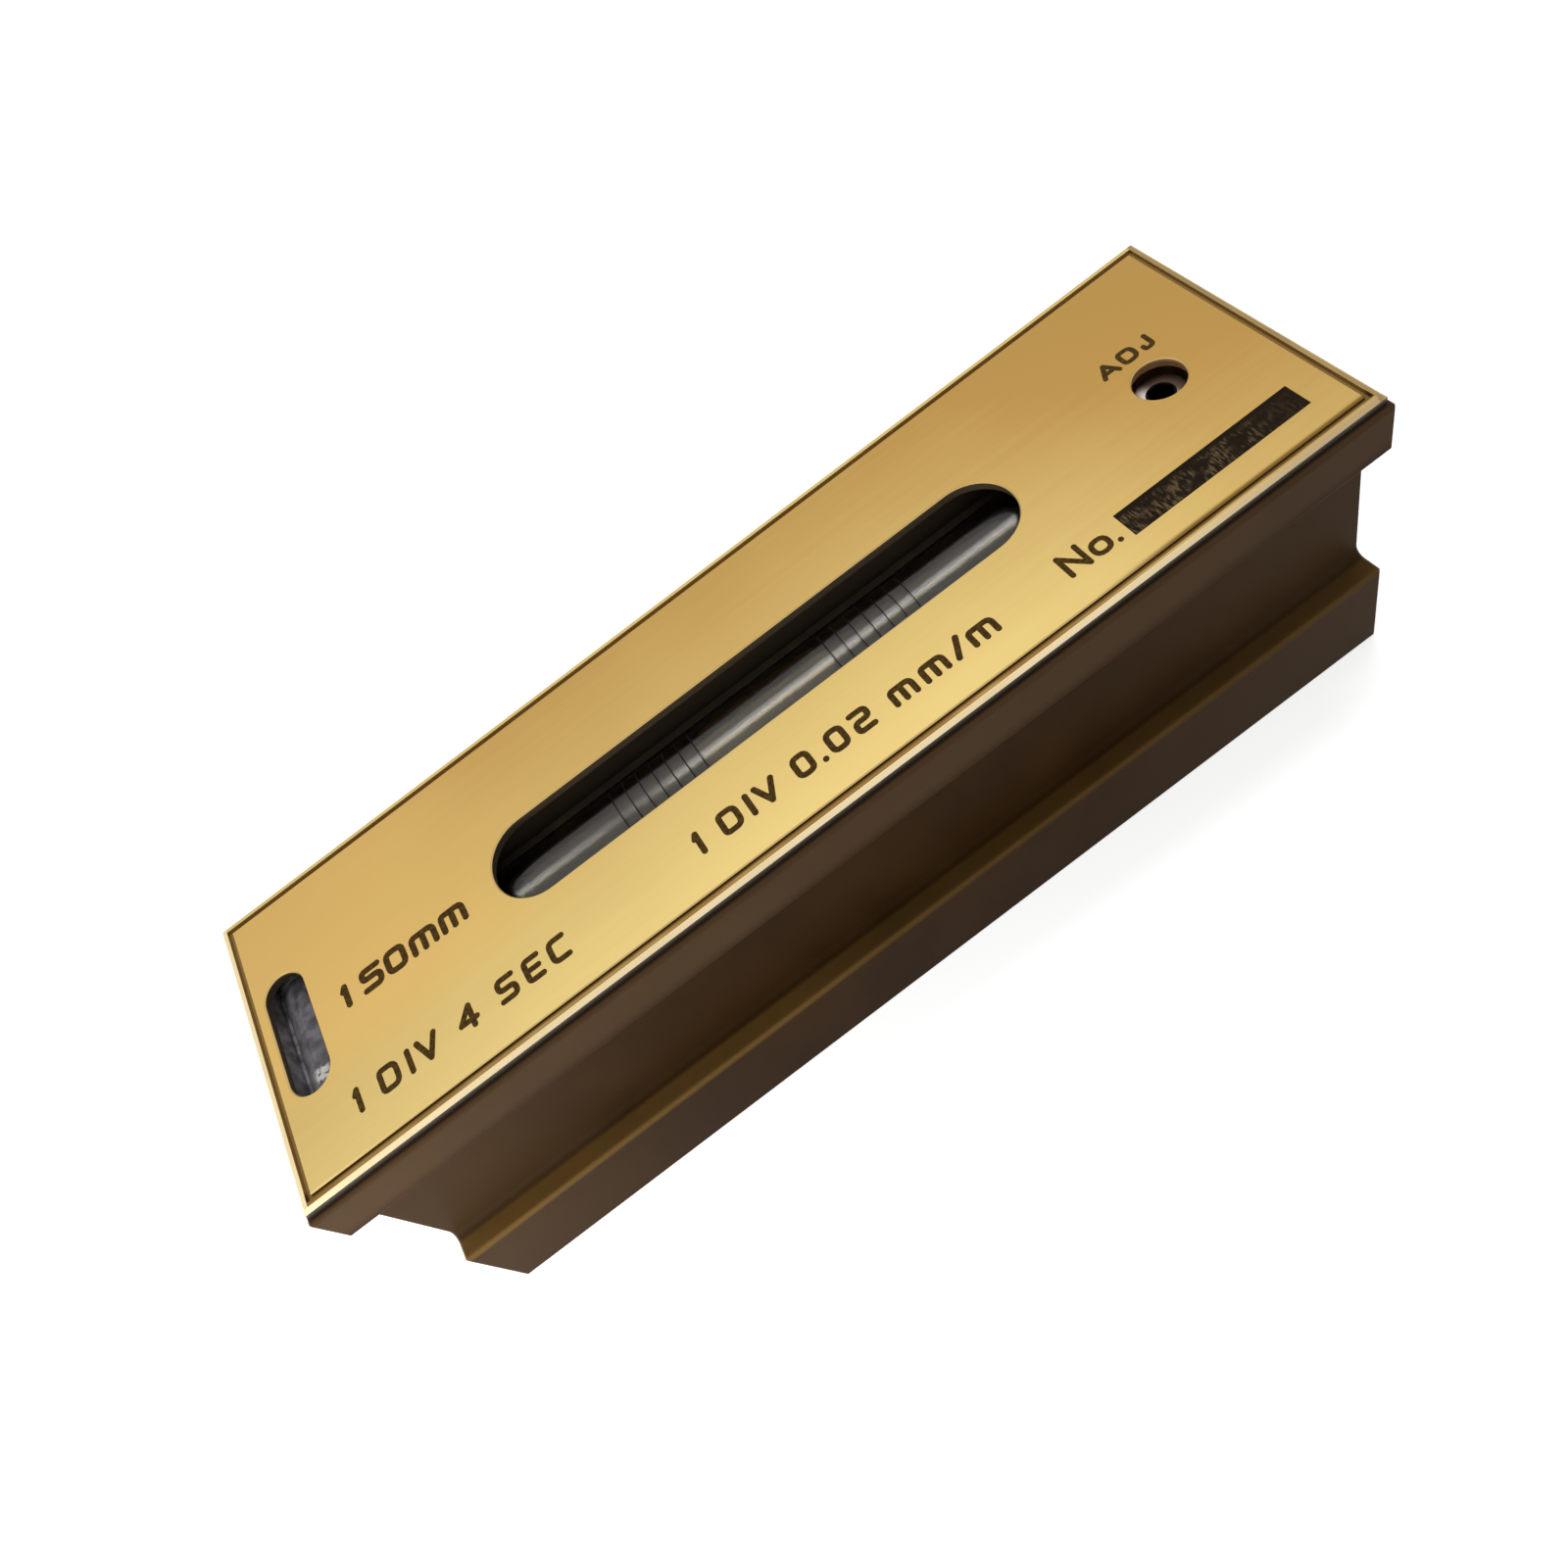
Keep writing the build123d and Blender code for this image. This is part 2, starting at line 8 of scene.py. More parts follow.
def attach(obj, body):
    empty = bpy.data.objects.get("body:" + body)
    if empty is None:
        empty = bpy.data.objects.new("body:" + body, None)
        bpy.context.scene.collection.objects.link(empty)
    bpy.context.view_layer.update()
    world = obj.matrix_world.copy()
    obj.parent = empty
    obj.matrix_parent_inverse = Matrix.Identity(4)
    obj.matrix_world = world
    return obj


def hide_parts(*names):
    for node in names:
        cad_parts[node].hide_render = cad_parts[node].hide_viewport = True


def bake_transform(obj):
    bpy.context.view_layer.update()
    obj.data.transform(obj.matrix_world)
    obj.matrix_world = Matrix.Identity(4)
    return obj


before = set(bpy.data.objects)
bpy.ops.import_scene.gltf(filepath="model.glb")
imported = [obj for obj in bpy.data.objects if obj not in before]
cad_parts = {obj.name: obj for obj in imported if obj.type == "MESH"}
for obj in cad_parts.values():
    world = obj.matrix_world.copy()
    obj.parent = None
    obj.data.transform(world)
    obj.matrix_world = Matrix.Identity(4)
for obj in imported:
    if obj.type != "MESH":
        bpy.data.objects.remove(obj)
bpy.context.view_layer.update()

# Block: one casting of grey iron, stove-enamelled brown, with a finger channel along each side. Its base and
# the V along it are ground bare. Its pocket is lined dark, but round the adjusting screw its lining is
# painted pale brown and under the cross window pale mottled grey: painted light that makes these shaded
# hollows read
# lit. On the enamel, light is painted too: the sides lighter at the ends and on the upper band, a sheen on
# the flange's top face and a highlight along its edge.
MM = 0.001


class Wire:
    """One socket of a shader. Sums on it add Math nodes, and node() adds any other node."""

    def __init__(self, tree, socket=None):
        self.tree, self.socket = tree, socket

    def node(self, kind, settings, sockets, out=0):
        """A node of this kind, its settings made first and then its sockets' values or links."""
        made = self.tree.nodes.new("ShaderNode" + kind)
        for name, value in settings.items():
            setattr(made, name, value)
        for name, value in sockets.items():
            if isinstance(value, Wire):
                self.tree.links.new(value.socket, made.inputs[name])
            else:
                made.inputs[name].default_value = value
        return Wire(self.tree, made.outputs[out])

    def math(self, operation, *values):
        return self.node("Math", {"operation": operation}, dict(enumerate(values)))

    def __add__(self, other):
        return self.math("ADD", self, other)

    def __sub__(self, other):
        return self.math("SUBTRACT", self, other)

    def __rsub__(self, other):
        return self.math("SUBTRACT", other, self)

    def __mul__(self, other):
        return self.math("MULTIPLY", self, other)

    def __pow__(self, other):
        return self.math("POWER", self, other)

    def __abs__(self):
        return self.math("ABSOLUTE", self)

    __radd__, __rmul__ = __add__, __mul__

    def most(self, other):
        """The greater of two masks."""
        return self.math("MAXIMUM", self, other)

    def rise(self, low, high):
        """0 below low, 1 above high, smooth between; falls instead where low is the greater."""
        ends = {"Value": self, "From Min": low, "From Max": high}
        return self.node("MapRange", {"interpolation_type": "SMOOTHSTEP"}, ends)

    def grain(self, size, detail=2.0, stretch=(1.0, 1.0, 1.0)):
        """Noise from 0 to 1 whose blobs are about size across, longer along an axis of small stretch."""
        place = self.node("Mapping", {}, {"Vector": self, "Scale": stretch})
        return self.node("TexNoise", {}, {"Vector": place, "Scale": 1 / size, "Detail": detail})

    def bump(self, height):
        """The normal of a surface that stands height metres proud."""
        return self.node("Bump", {}, {"Strength": 1.0, "Distance": 1.0, "Height": height})

    def tint(self, low, high):
        """A colour that goes from low to high with this mask."""
        return self.node("Mix", {"data_type": "RGBA"}, {0: self, 6: low, 7: high}, 2)


def shade(red, green, blue):
    """A colour as seen, 0 to 255 a channel, in the linear values that a shader takes."""
    seen = np.array([red, green, blue]) / 255
    linear = np.where(seen < 0.04045, seen / 12.92, ((seen + 0.055) / 1.055) ** 2.4)
    return (*linear.tolist(), 1.0)


def new_finish(name):
    """A new material, its object coordinates, and each of the three alone."""
    finish = bpy.data.materials.new(name)
    finish.use_nodes = True
    place = Wire(finish.node_tree).node("TexCoord", {}, {}, "Object")
    apart = place.node("SeparateXYZ", {}, {"Vector": place}).socket.node.outputs
    return finish, place, *(Wire(finish.node_tree, axis) for axis in apart)


def lay_on(finish, sockets):
    """Sets the shader's own sockets, or links what changes over the surface."""
    shader = finish.node_tree.nodes["Principled BSDF"]
    for name, value in sockets.items():
        if isinstance(value, Wire):
            finish.node_tree.links.new(value.socket, shader.inputs[name])
        else:
            shader.inputs[name].default_value = value


def welded(points, corners):
    """Points that coincide become one, and triangles that this flattens go."""
    points, index = np.unique(np.round(points, 9), axis=0, return_inverse=True)
    corners = index.reshape(-1)[corners]
    first, second, third = corners.T
    return points, corners[(first != second) & (second != third) & (third != first)]


def of_node(name):
    """The points and triangles of a CAD node, welded."""
    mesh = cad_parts[name].data
    mesh.calc_loop_triangles()
    points = np.empty(3 * len(mesh.vertices))
    corners = np.empty(3 * len(mesh.loop_triangles), dtype=np.int32)
    mesh.vertices.foreach_get("co", points)
    mesh.loop_triangles.foreach_get("vertices", corners)
    return welded(points.reshape(-1, 3), corners.reshape(-1, 3))


def piece(name, shape, finish, sharp, flats=False):
    """A mesh piece, smooth but for edges that turn by more than sharp degrees. Flats keeps its broad faces
    flat up to their roundings."""
    points, corners = shape
    mesh = bpy.data.meshes.new(name)
    mesh.from_pydata(points.tolist(), [], corners.tolist())
    mesh.polygons.foreach_set("use_smooth", np.ones(len(corners), dtype=bool))
    mesh.set_sharp_from_angle(angle=math.radians(sharp))
    mesh.materials.append(finish)
    made = bpy.data.objects.new(name, mesh)
    bpy.context.scene.collection.objects.link(made)
    if flats:
        made.modifiers.new("flat_faces", "WEIGHTED_NORMAL").keep_sharp = True
    return made


ENAMEL, ENAMEL_DEEP, ENAMEL_EDGE_HIGHLIGHT = shade(51, 34, 16), shade(42, 27, 12), shade(110, 84, 47)
ENAMEL_LIT_BAND, ENAMEL_LIT_ENDS, LEDGE_SHEEN = shade(76, 58, 40), shade(63, 47, 31), shade(112, 84, 42)
IRON, PRIMER = shade(168, 166, 160), shade(30, 24, 18)
IRON_SCRATCHED = (*(0.8 * part for part in IRON[:3]), 1.0)
POCKET_BLACK, HOLE_LINING_LIT = shade(92, 78, 63), shade(226, 180, 140)
POCKET_GREY_LIT, POCKET_GREY_LIT_PALE = shade(150, 144, 146), shade(212, 208, 212)
V_HALF, V_RISE, BASE_SKIN = 10.0 * MM, math.tan(math.radians(30)), 0.12 * MM
RELIEF_SIDE, RELIEF_ROOF = (1.5 * MM, 1.3 * MM), (6.8 * MM, 6.7 * MM)
SKIN_X, SKIN_Y, SKIN_Z = (74.0 * MM, 73.5 * MM), (17.8 * MM, 17.4 * MM), (15.0 * MM, 16.0 * MM)
FLANGE_TOP, WEB, SIDE, LIP_LOW = 14.7 * MM, 18.35 * MM, 22.5 * MM, 36.5 * MM
# Along the block: where the screw's hole begins, where the pale grey lining ends, and where the painted light
# at the ends, the painted sheen on the flange's top face and the painted highlight on its edge fade
HOLE_FROM, POCKET_GREY_TO = (56 * MM, 57 * MM), (-63.2 * MM, -63.6 * MM)
LIT_ENDS, LEDGE_SHEEN_FADE, EDGE_HIGHLIGHT_FADE = (20 * MM, 76 * MM), (-40 * MM, 5 * MM), (-45 * MM, 15 * MM)

enamel, place, x, y, z = new_finish("brown_enamel")
off_flank = abs(z - V_RISE * (V_HALF - abs(y)))
ground = off_flank.rise(2 * BASE_SKIN, BASE_SKIN) * abs(y).rise(V_HALF, V_HALF - BASE_SKIN)
relief = abs(y).rise(*RELIEF_SIDE) * z.rise(*RELIEF_ROOF)
bare = ground.most(relief).most(z.rise(BASE_SKIN, 0.05 * BASE_SKIN))
inside = abs(y).rise(*SKIN_Y) * abs(x).rise(*SKIN_X) * z.rise(*SKIN_Z)
cloud = place.grain(14 * MM, 3.0)
peel = place.grain(0.9 * MM, 1.0)
speck = place.grain(0.22 * MM, 2.0)
scratch = place.grain(0.12 * MM, 2.0, (0.04, 1.0, 1.0))
corner = ((abs(y) - SIDE) ** 2.0 + (z - FLANGE_TOP) ** 2.0) ** 0.5
# Painted highlight: a pale line along the flange's rounded top edge, fading towards the right.
edge_highlight = corner.rise(1.1 * MM, 0.3 * MM) * (0.55 + 0.5 * cloud)
blotch = place.grain(2.0 * MM, 3.0).rise(0.35, 0.7)
# Round the adjusting screw the lining is a pale brown, painted light that makes the shaded hole read lit.
lining = x.rise(*HOLE_FROM).tint(POCKET_BLACK, HOLE_LINING_LIT)
# Under the cross window the lining is a pale mottled grey, painted light that makes the shaded pocket read
# lit.
lining = x.rise(*POCKET_GREY_TO).tint(lining, blotch.tint(POCKET_GREY_LIT, POCKET_GREY_LIT_PALE))
coat = cloud.rise(0.25, 0.75).tint(ENAMEL_DEEP, ENAMEL)
# Painted light: below the upper band the enamel is lighter towards both ends.
lit_ends = abs(x).rise(*LIT_ENDS) * z.rise(LIP_LOW, LIP_LOW - 2.0 * MM)
coat = (lit_ends * (0.6 + 0.5 * cloud)).tint(coat, ENAMEL_LIT_ENDS)
# Painted light: the upper band of the side is lighter than the web below it.
lit_band = z.rise(LIP_LOW - 0.6 * MM, LIP_LOW + 2.5 * MM)
coat = (lit_band * (0.6 + 0.4 * cloud)).tint(coat, ENAMEL_LIT_BAND)
# Painted reflection: the flange's top face is olive, fading towards the right.
ledge_sheen = abs(z - FLANGE_TOP).rise(0.5 * MM, 0.1 * MM) * abs(y).rise(WEB + 0.8 * MM, WEB + 1.6 * MM)
ledge_sheen = ledge_sheen * (0.5 + 0.6 * cloud) * (1 - 0.45 * x.rise(*LEDGE_SHEEN_FADE))
coat = ledge_sheen.tint(coat, LEDGE_SHEEN)
coat = (edge_highlight * (0.8 - 0.45 * x.rise(*EDGE_HIGHLIGHT_FADE))).tint(coat, ENAMEL_EDGE_HIGHLIGHT)
coat = (speck.rise(0.66, 0.74) * 0.25).tint(coat, PRIMER)
iron = scratch.rise(0.3, 0.7).tint(IRON_SCRATCHED, IRON)
lay_on(enamel, {
    "Base Color": bare.tint(inside.tint(coat, lining), iron),
    "Metallic": bare,
    "Roughness": 0.38 + 0.12 * cloud + 0.30 * inside - 0.06 * bare,
    "Specular IOR Level": 0.02,
    "Specular Tint": (1.0, 0.66, 0.38, 1.0),
    "Normal": place.bump(peel * (0.012 * MM) + speck * (0.003 * MM) + scratch * bare * (0.004 * MM)),
})
block = piece("block", of_node("body"), enamel, 24, flats=True)
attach(block, "block")
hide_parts("body")

# Cover: a shallow brass tray, milled, satin gilt and screwed down on the block's top. Its bevelled rim is
# polished, and the bevel is painted duller towards the right as shade. The narrow groove inside the rim is
# painted dark as shade, and so is the rim beside the groove along the front and at the right end. Its sides
# are painted near black as a shadow line, the walls of its openings dark as shade, and the adjusting hole's
# wall a lighter brown, as painted light.
GILT, GILT_BRIGHT, GILT_SHADED = shade(204, 178, 116), shade(234, 214, 172), shade(170, 142, 96)
GROOVE_SHADE, RIM_SHADE, RIM_SHADE_DEEP = shade(134, 100, 38), shade(126, 94, 46), shade(84, 62, 28)
WALL_SHADE, HOLE_WALL_LIT, SIDE_SHADOW_BROWN = shade(80, 66, 48), shade(176, 138, 94), shade(34, 25, 15)
RIM_X, RIM_Y, GROOVE_TOP, INNER_X, INNER_Y = 73.2 * MM, 20.7 * MM, 44.75 * MM, 72.2 * MM, 19.7 * MM
COVER_Y, BEVEL, SIDE_TOP, POLISHED = 21.7 * MM, 0.45 * MM, 44.5 * MM, (44.3 * MM, 44.6 * MM)
# Across the front rim and along it, where its painted shade begins, deepens and eases, and the same for the
# right end
FRONT, FRONT_DARK, FRONT_LIT = (-19 * MM, -20 * MM), (-20.9 * MM, -20.55 * MM), (-20.75 * MM, -20.95 * MM)
DARK_FROM, LIT_FROM, SHADED_FROM = (20 * MM, 45 * MM), (30 * MM, 50 * MM), (30 * MM, 74 * MM)
RIGHT_FROM, RIGHT_TO, HOLE_AT = (73.1 * MM, 73.3 * MM), (74.2 * MM, 73.5 * MM), (55 * MM, 56 * MM)

gilt, place, x, y, z = new_finish("satin_gilt")
cloud = place.grain(9 * MM, 3.0)
fine = place.grain(0.25 * MM, 2.0)
in_tray = abs(x).rise(RIM_X + 0.05 * MM, RIM_X - 0.1 * MM) * abs(y).rise(RIM_Y + 0.05 * MM, RIM_Y - 0.1 * MM)
sunk = in_tray * z.rise(GROOVE_TOP, GROOVE_TOP - 0.15 * MM)
past = abs(x).rise(RIM_X, RIM_X + 0.1 * MM).most(abs(y).rise(COVER_Y - 1.3 * BEVEL, COVER_Y - BEVEL))
polished = z.rise(*POLISHED) * past
tarnish = cloud.rise(0.4, 0.75) * 0.25
# Painted shade: the front rim goes brown, deepest beside the groove, and eases at its outer edge to the
# right.
brown = (y.rise(*FRONT_DARK) * (0.5 + 0.5 * x.rise(*DARK_FROM))).tint(RIM_SHADE, RIM_SHADE_DEEP)
flat = (y.rise(*FRONT) * (1 - 0.55 * (x.rise(*LIT_FROM) * y.rise(*FRONT_LIT)))).tint(GILT, brown)
# Painted shade: the polished bevel is duller towards the right.
face = polished.tint(flat, (0.8 * x.rise(*SHADED_FROM)).tint(GILT_BRIGHT, GILT_SHADED))
# Painted shade: the rim's right end goes brown.
face = (0.6 * x.rise(*RIGHT_FROM) * x.rise(*RIGHT_TO)).tint(face, RIM_SHADE)
# Painted shadow: the cover's sides are near-black brown, a shadow line under the rim.
side = z.rise(SIDE_TOP + 0.04 * MM, SIDE_TOP) * (1 - in_tray)
# Painted shade: the groove inside the rim is dark brown.
face = side.tint((sunk * (0.8 + 0.2 * cloud)).tint(tarnish.tint(face, GILT), GROOVE_SHADE), SIDE_SHADOW_BROWN)
# The walls of the openings are painted dark brown as shade, and the adjusting hole's wall a lighter brown as
# painted light.
opening = abs(x).rise(INNER_X, INNER_X - 0.1 * MM) * abs(y).rise(INNER_Y, INNER_Y - 0.1 * MM)
lay_on(gilt, {
    "Base Color": opening.tint(face, x.rise(*HOLE_AT).tint(WALL_SHADE, HOLE_WALL_LIT)),
    "Metallic": (1 - 0.8 * opening) * (1 - 0.85 * sunk) * (1 - 0.9 * side),
    "Roughness": 0.30 + 0.10 * fine - 0.08 * polished + 0.25 * sunk,
    "Normal": place.bump(fine * (0.0015 * MM)),
})
cover = piece("cover", of_node("top_cover"), gilt, 24, flats=True)
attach(cover, "block")
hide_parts("top_cover")

# Name plate: half a millimetre of brass, brushed lengthwise and satin gilt, laid in the tray. Its windows
# have a small polished chamfer. Light and shade are painted on its face, its front edge is painted darker
# towards the right as shade, and the walls of its windows and edges are painted dark as shade, the adjusting
# hole's wall lighter as painted light.
PLATE_PALE, PLATE_DEEP, PLATE_EDGE = shade(198, 178, 116), shade(170, 134, 71), shade(200, 170, 112)
PLATE_WALL_SHADE, PLATE_SHADE_BROWN, PLATE_LIT = shade(80, 66, 46), shade(108, 80, 28), shade(198, 164, 96)
PLATE_TOP, PLATE_CHAMFER, PLATE_X, PLATE_Y = 45.0 * MM, 0.15 * MM, 72.6 * MM, 20.1 * MM
# Where painted shade deepens the colour to the right and to the left, where painted light lies at the back
# left, and where painted shade darkens the front edge, across and along
SHADED_RIGHT, SHADED_LEFT = (20 * MM, 76 * MM), (-50 * MM, -78 * MM)
LIT_LEFT, LIT_BACK = (-15 * MM, -60 * MM), (-13 * MM, -3 * MM)
EDGE_SHADE, EDGE_FROM = (-19.5 * MM, -19.95 * MM), (34 * MM, 50 * MM)

plate_gilt, place, x, y, z = new_finish("brushed_gilt")
cloud = place.grain(22 * MM, 2.0)
brushed = place.grain(0.16 * MM, 3.0, (0.02, 1.0, 1.0))
lines = place.grain(0.9 * MM, 2.0, (0.01, 1.0, 1.0))
edge = z.rise(PLATE_TOP - 0.02 * MM, PLATE_TOP - 0.06 * MM)
wall = z.rise(PLATE_TOP - 0.9 * PLATE_CHAMFER, PLATE_TOP - 1.1 * PLATE_CHAMFER)
# Painted light and shade: paler towards the front, deeper towards both ends.
lit_tone = 0.46 - 17 * y - 0.50 * x.rise(*SHADED_RIGHT) - 0.10 * x.rise(*SHADED_LEFT)
outer = abs(x).rise(PLATE_X - 0.3 * MM, PLATE_X - 0.2 * MM)
outer = outer.most(abs(y).rise(PLATE_Y - 0.3 * MM, PLATE_Y - 0.2 * MM))
tone = lit_tone + 0.24 * (cloud - 0.5) + 0.14 * (brushed - 0.5) + 0.16 * (lines - 0.5)
face = tone.node("Clamp", {}, {"Value": tone}).tint(PLATE_DEEP, PLATE_PALE)
face = (0.75 * x.rise(*LIT_LEFT) * y.rise(*LIT_BACK)).tint(face, PLATE_LIT)
face = edge.tint(face, PLATE_EDGE)
# Painted shade: the front edge is darker brown towards the right.
face = (0.85 * y.rise(*EDGE_SHADE) * x.rise(*EDGE_FROM)).tint(face, PLATE_SHADE_BROWN)
# The walls of the windows and edges are painted dark as shade, the adjusting hole's wall lighter as painted
# light.
walls = outer.tint(x.rise(*HOLE_AT).tint(PLATE_WALL_SHADE, HOLE_WALL_LIT), PLATE_SHADE_BROWN)
lay_on(plate_gilt, {
    "Base Color": wall.tint(face, walls),
    "Metallic": 1 - 0.9 * wall,
    "Roughness": 0.40 + 0.10 * brushed + 0.05 * cloud - 0.16 * edge,
    "Normal": place.bump(brushed * (0.0016 * MM)),
})
plate = piece("plate", of_node("name_plate"), plate_gilt, 24, flats=True)
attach(plate, "block")
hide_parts("name_plate")

# Lettering: wide square letters cut in the plate by a round-nosed cutter and filled with dark brown wax.
# Every stroke is a flat bar with round ends, which stands a hair proud.
LETTER_LOW, LETTER_HIGH, TURN, STEP = 44.96 * MM, 45.018 * MM, 0.75 * MM, 0.003 * MM
LETTER_BROWN, LETTER_DARK = shade(88, 64, 16), shade(58, 40, 7)
BEND_STEPS, END_TURN, END_STEPS, DOT, SAME = 5, 1.5, 7, 0.01 * MM, 1e-7


def lattice(points, closed_rows):
    """Triangles, two a cell, of a grid of points whose rows are closed rings; the last row joins the first
    where closed_rows. A row drawn into one point is a pole once welded."""
    rows, ring = points.shape[:2]
    index = np.arange(rows * ring).reshape(rows, ring)
    index = np.vstack([index, index[:1]]) if closed_rows else index
    index = np.hstack([index, index[:, :1]])
    near, far, far_next, next_one = index[:-1, :-1], index[1:, :-1], index[1:, 1:], index[:-1, 1:]
    halves = (near, far, far_next), (near, far_next, next_one)
    return points.reshape(-1, 3), np.concatenate([np.stack(half, -1).reshape(-1, 3) for half in halves])


def solid(points, closed_rows=False, hollow=False):
    """A closed shell from a grid. The sum of the triangles' signed tetrahedra tells which way they face; they
    are turned to face out, or in for a hollow. Open rows end in their own middle as a pole."""
    if not closed_rows:
        first, last = (np.repeat(row.mean(0)[None], len(row), 0)[None] for row in (points[0], points[-1]))
        points = np.concatenate([first, points, last])
    points, corners = welded(*lattice(points, closed_rows))
    one, two, three = (points[corners[:, k]] for k in range(3))
    volume = np.einsum("ij,ij->", one, np.cross(two, three))
    return points, corners if (volume > 0) != hollow else corners[:, ::-1]


def together(*shapes):
    """Several shells as one shape."""
    starts = np.cumsum([0] + [len(points) for points, corners in shapes])
    corners = [shape[1] + start for shape, start in zip(shapes, starts)]
    return np.concatenate([shape[0] for shape in shapes]), np.concatenate(corners)


def rounded(corners, closed, turn):
    """A line through corners, each (x, y, share of the turn). A corner is cut back by its share of turn, or
    by 0.45 of its shorter run, and bridged by (1-t)^2 start + 2t(1-t) corner + t^2 end."""
    spots, share = np.array(corners)[:, :2], np.array(corners)[:, 2]
    ahead, back = np.roll(spots, -1, 0) - spots, np.roll(spots, 1, 0) - spots
    reach, behind = (np.linalg.norm(run, axis=1) for run in (ahead, back))
    cut = np.minimum(turn * share, 0.45 * np.minimum(reach, behind))
    if not closed:
        cut[0] = cut[-1] = 0
    start = spots + back * (cut / behind)[:, None]
    end = spots + ahead * (cut / reach)[:, None]
    t = np.linspace(0, 1, BEND_STEPS)[None, :, None]
    bend = (1 - t) ** 2 * start[:, None] + 2 * t * (1 - t) * spots[:, None] + t ** 2 * end[:, None]
    line = bend.reshape(-1, 2)
    step = np.linalg.norm(np.diff(line, axis=0), axis=1)
    return line[np.concatenate([[True], step > SAME])]


def bar(line, closed, width, low, high):
    """A flat bar along a line: each point goes half the width to either side, square to the mean direction of
    its two runs and over the cosine between them, at the heights low and high. An open bar's ends are round:
    past its last point by r sin a, it is 2 r cos a wide."""
    ahead, back = np.roll(line, -1, 0) - line, line - np.roll(line, 1, 0)
    if not closed:
        ahead[-1], back[0] = back[-1], ahead[0]
    ahead, back = (run / np.linalg.norm(run, axis=1)[:, None] for run in (ahead, back))
    mean = (ahead + back) / np.linalg.norm(ahead + back, axis=1)[:, None]
    side = np.stack([-mean[:, 1], mean[:, 0]], 1) / np.sum(mean * ahead, 1)[:, None] * width / 2
    if not closed:
        a = np.linspace(0, END_TURN, END_STEPS)[1:, None]
        tail = line[0] - np.sin(a) * ahead[0] * width / 2
        nose = line[-1] + np.sin(a) * back[-1] * width / 2
        line = np.concatenate([tail[::-1], line, nose])
        side = np.concatenate([(np.cos(a) * side[0])[::-1], side, np.cos(a) * side[-1]])
    level = np.ones((len(line), 1))
    left, right = line + side, line - side
    ring = [np.hstack([left, low * level]), np.hstack([right, low * level]),
            np.hstack([right, high * level]), np.hstack([left, high * level])]
    return solid(np.stack(ring, 1), closed_rows=closed)


BOX = [(0, 0, 1), (1, 0, 1), (1, 1, 1), (0, 1, 1)]
LETTERS = {
    "0": [(True, BOX)],
    "o": [(True, [(0, 0, 3), (1, 0, 3), (1, 1, 3), (0, 1, 3)])],
    "1": [(False, [(0.7, 1, 0), (0.7, 0, 0)]), (False, [(0, 0.78, 0), (0.7, 1, 0)])],
    "2": [(False, [(0, 1, 0), (1, 1, 1), (1, 0.5, 1), (0, 0.5, 1), (0, 0, 0.7), (1, 0, 0)])],
    "4": [(False, [(0.74, 0, 0), (0.74, 1, 0)]), (False, [(0.74, 1, 0), (0, 0.3, 0)]),
          (False, [(0, 0.3, 0), (1, 0.3, 0)])],
    "5": [(False, [(1, 1, 0), (0, 1, 0.7), (0, 0.56, 0.7), (1, 0.56, 1), (1, 0, 1), (0, 0, 0)])],
    "A": [(False, [(0, 0, 0), (0.5, 1, 0)]), (False, [(0.5, 1, 0), (1, 0, 0)]),
          (False, [(0.2, 0.3, 0), (0.8, 0.3, 0)])],
    "C": [(False, [(1, 1, 0), (0, 1, 1), (0, 0, 1), (1, 0, 0)])],
    "D": [(True, [(0, 0, 0.7), (1, 0, 1.2), (1, 1, 1.2), (0, 1, 0.7)])],
    "E": [(False, [(1, 1, 0), (0, 1, 0.7), (0, 0, 0.7), (1, 0, 0)]), (False, [(0, 0.5, 0), (0.9, 0.5, 0)])],
    "I": [(False, [(0.5, 0, 0), (0.5, 1, 0)])],
    "J": [(False, [(1, 1, 0), (1, 0, 1), (0, 0, 1), (0, 0.3, 0)])],
    "N": [(False, [(0, 0, 0), (0, 1, 0)]), (False, [(0, 1, 0), (1, 0, 0)]), (False, [(1, 0, 0), (1, 1, 0)])],
    "S": [(False, [(1, 1, 0), (0, 1, 1), (0, 0.5, 1), (1, 0.5, 1), (1, 0, 1), (0, 0, 0)])],
    "V": [(False, [(0, 1, 0), (0.5, 0, 0)]), (False, [(0.5, 0, 0), (1, 1, 0)])],
    "m": [(False, [(0, 0, 0), (0, 1, 0.7), (1, 1, 1), (1, 0, 0)]), (False, [(0.5, 1, 0), (0.5, 0, 0)])],
    "/": [(False, [(0, 0, 0), (1, 1, 0)])],
    ".": [(False, [(0.5, 0, 0), (0.5, 0.02, 0)])],
}
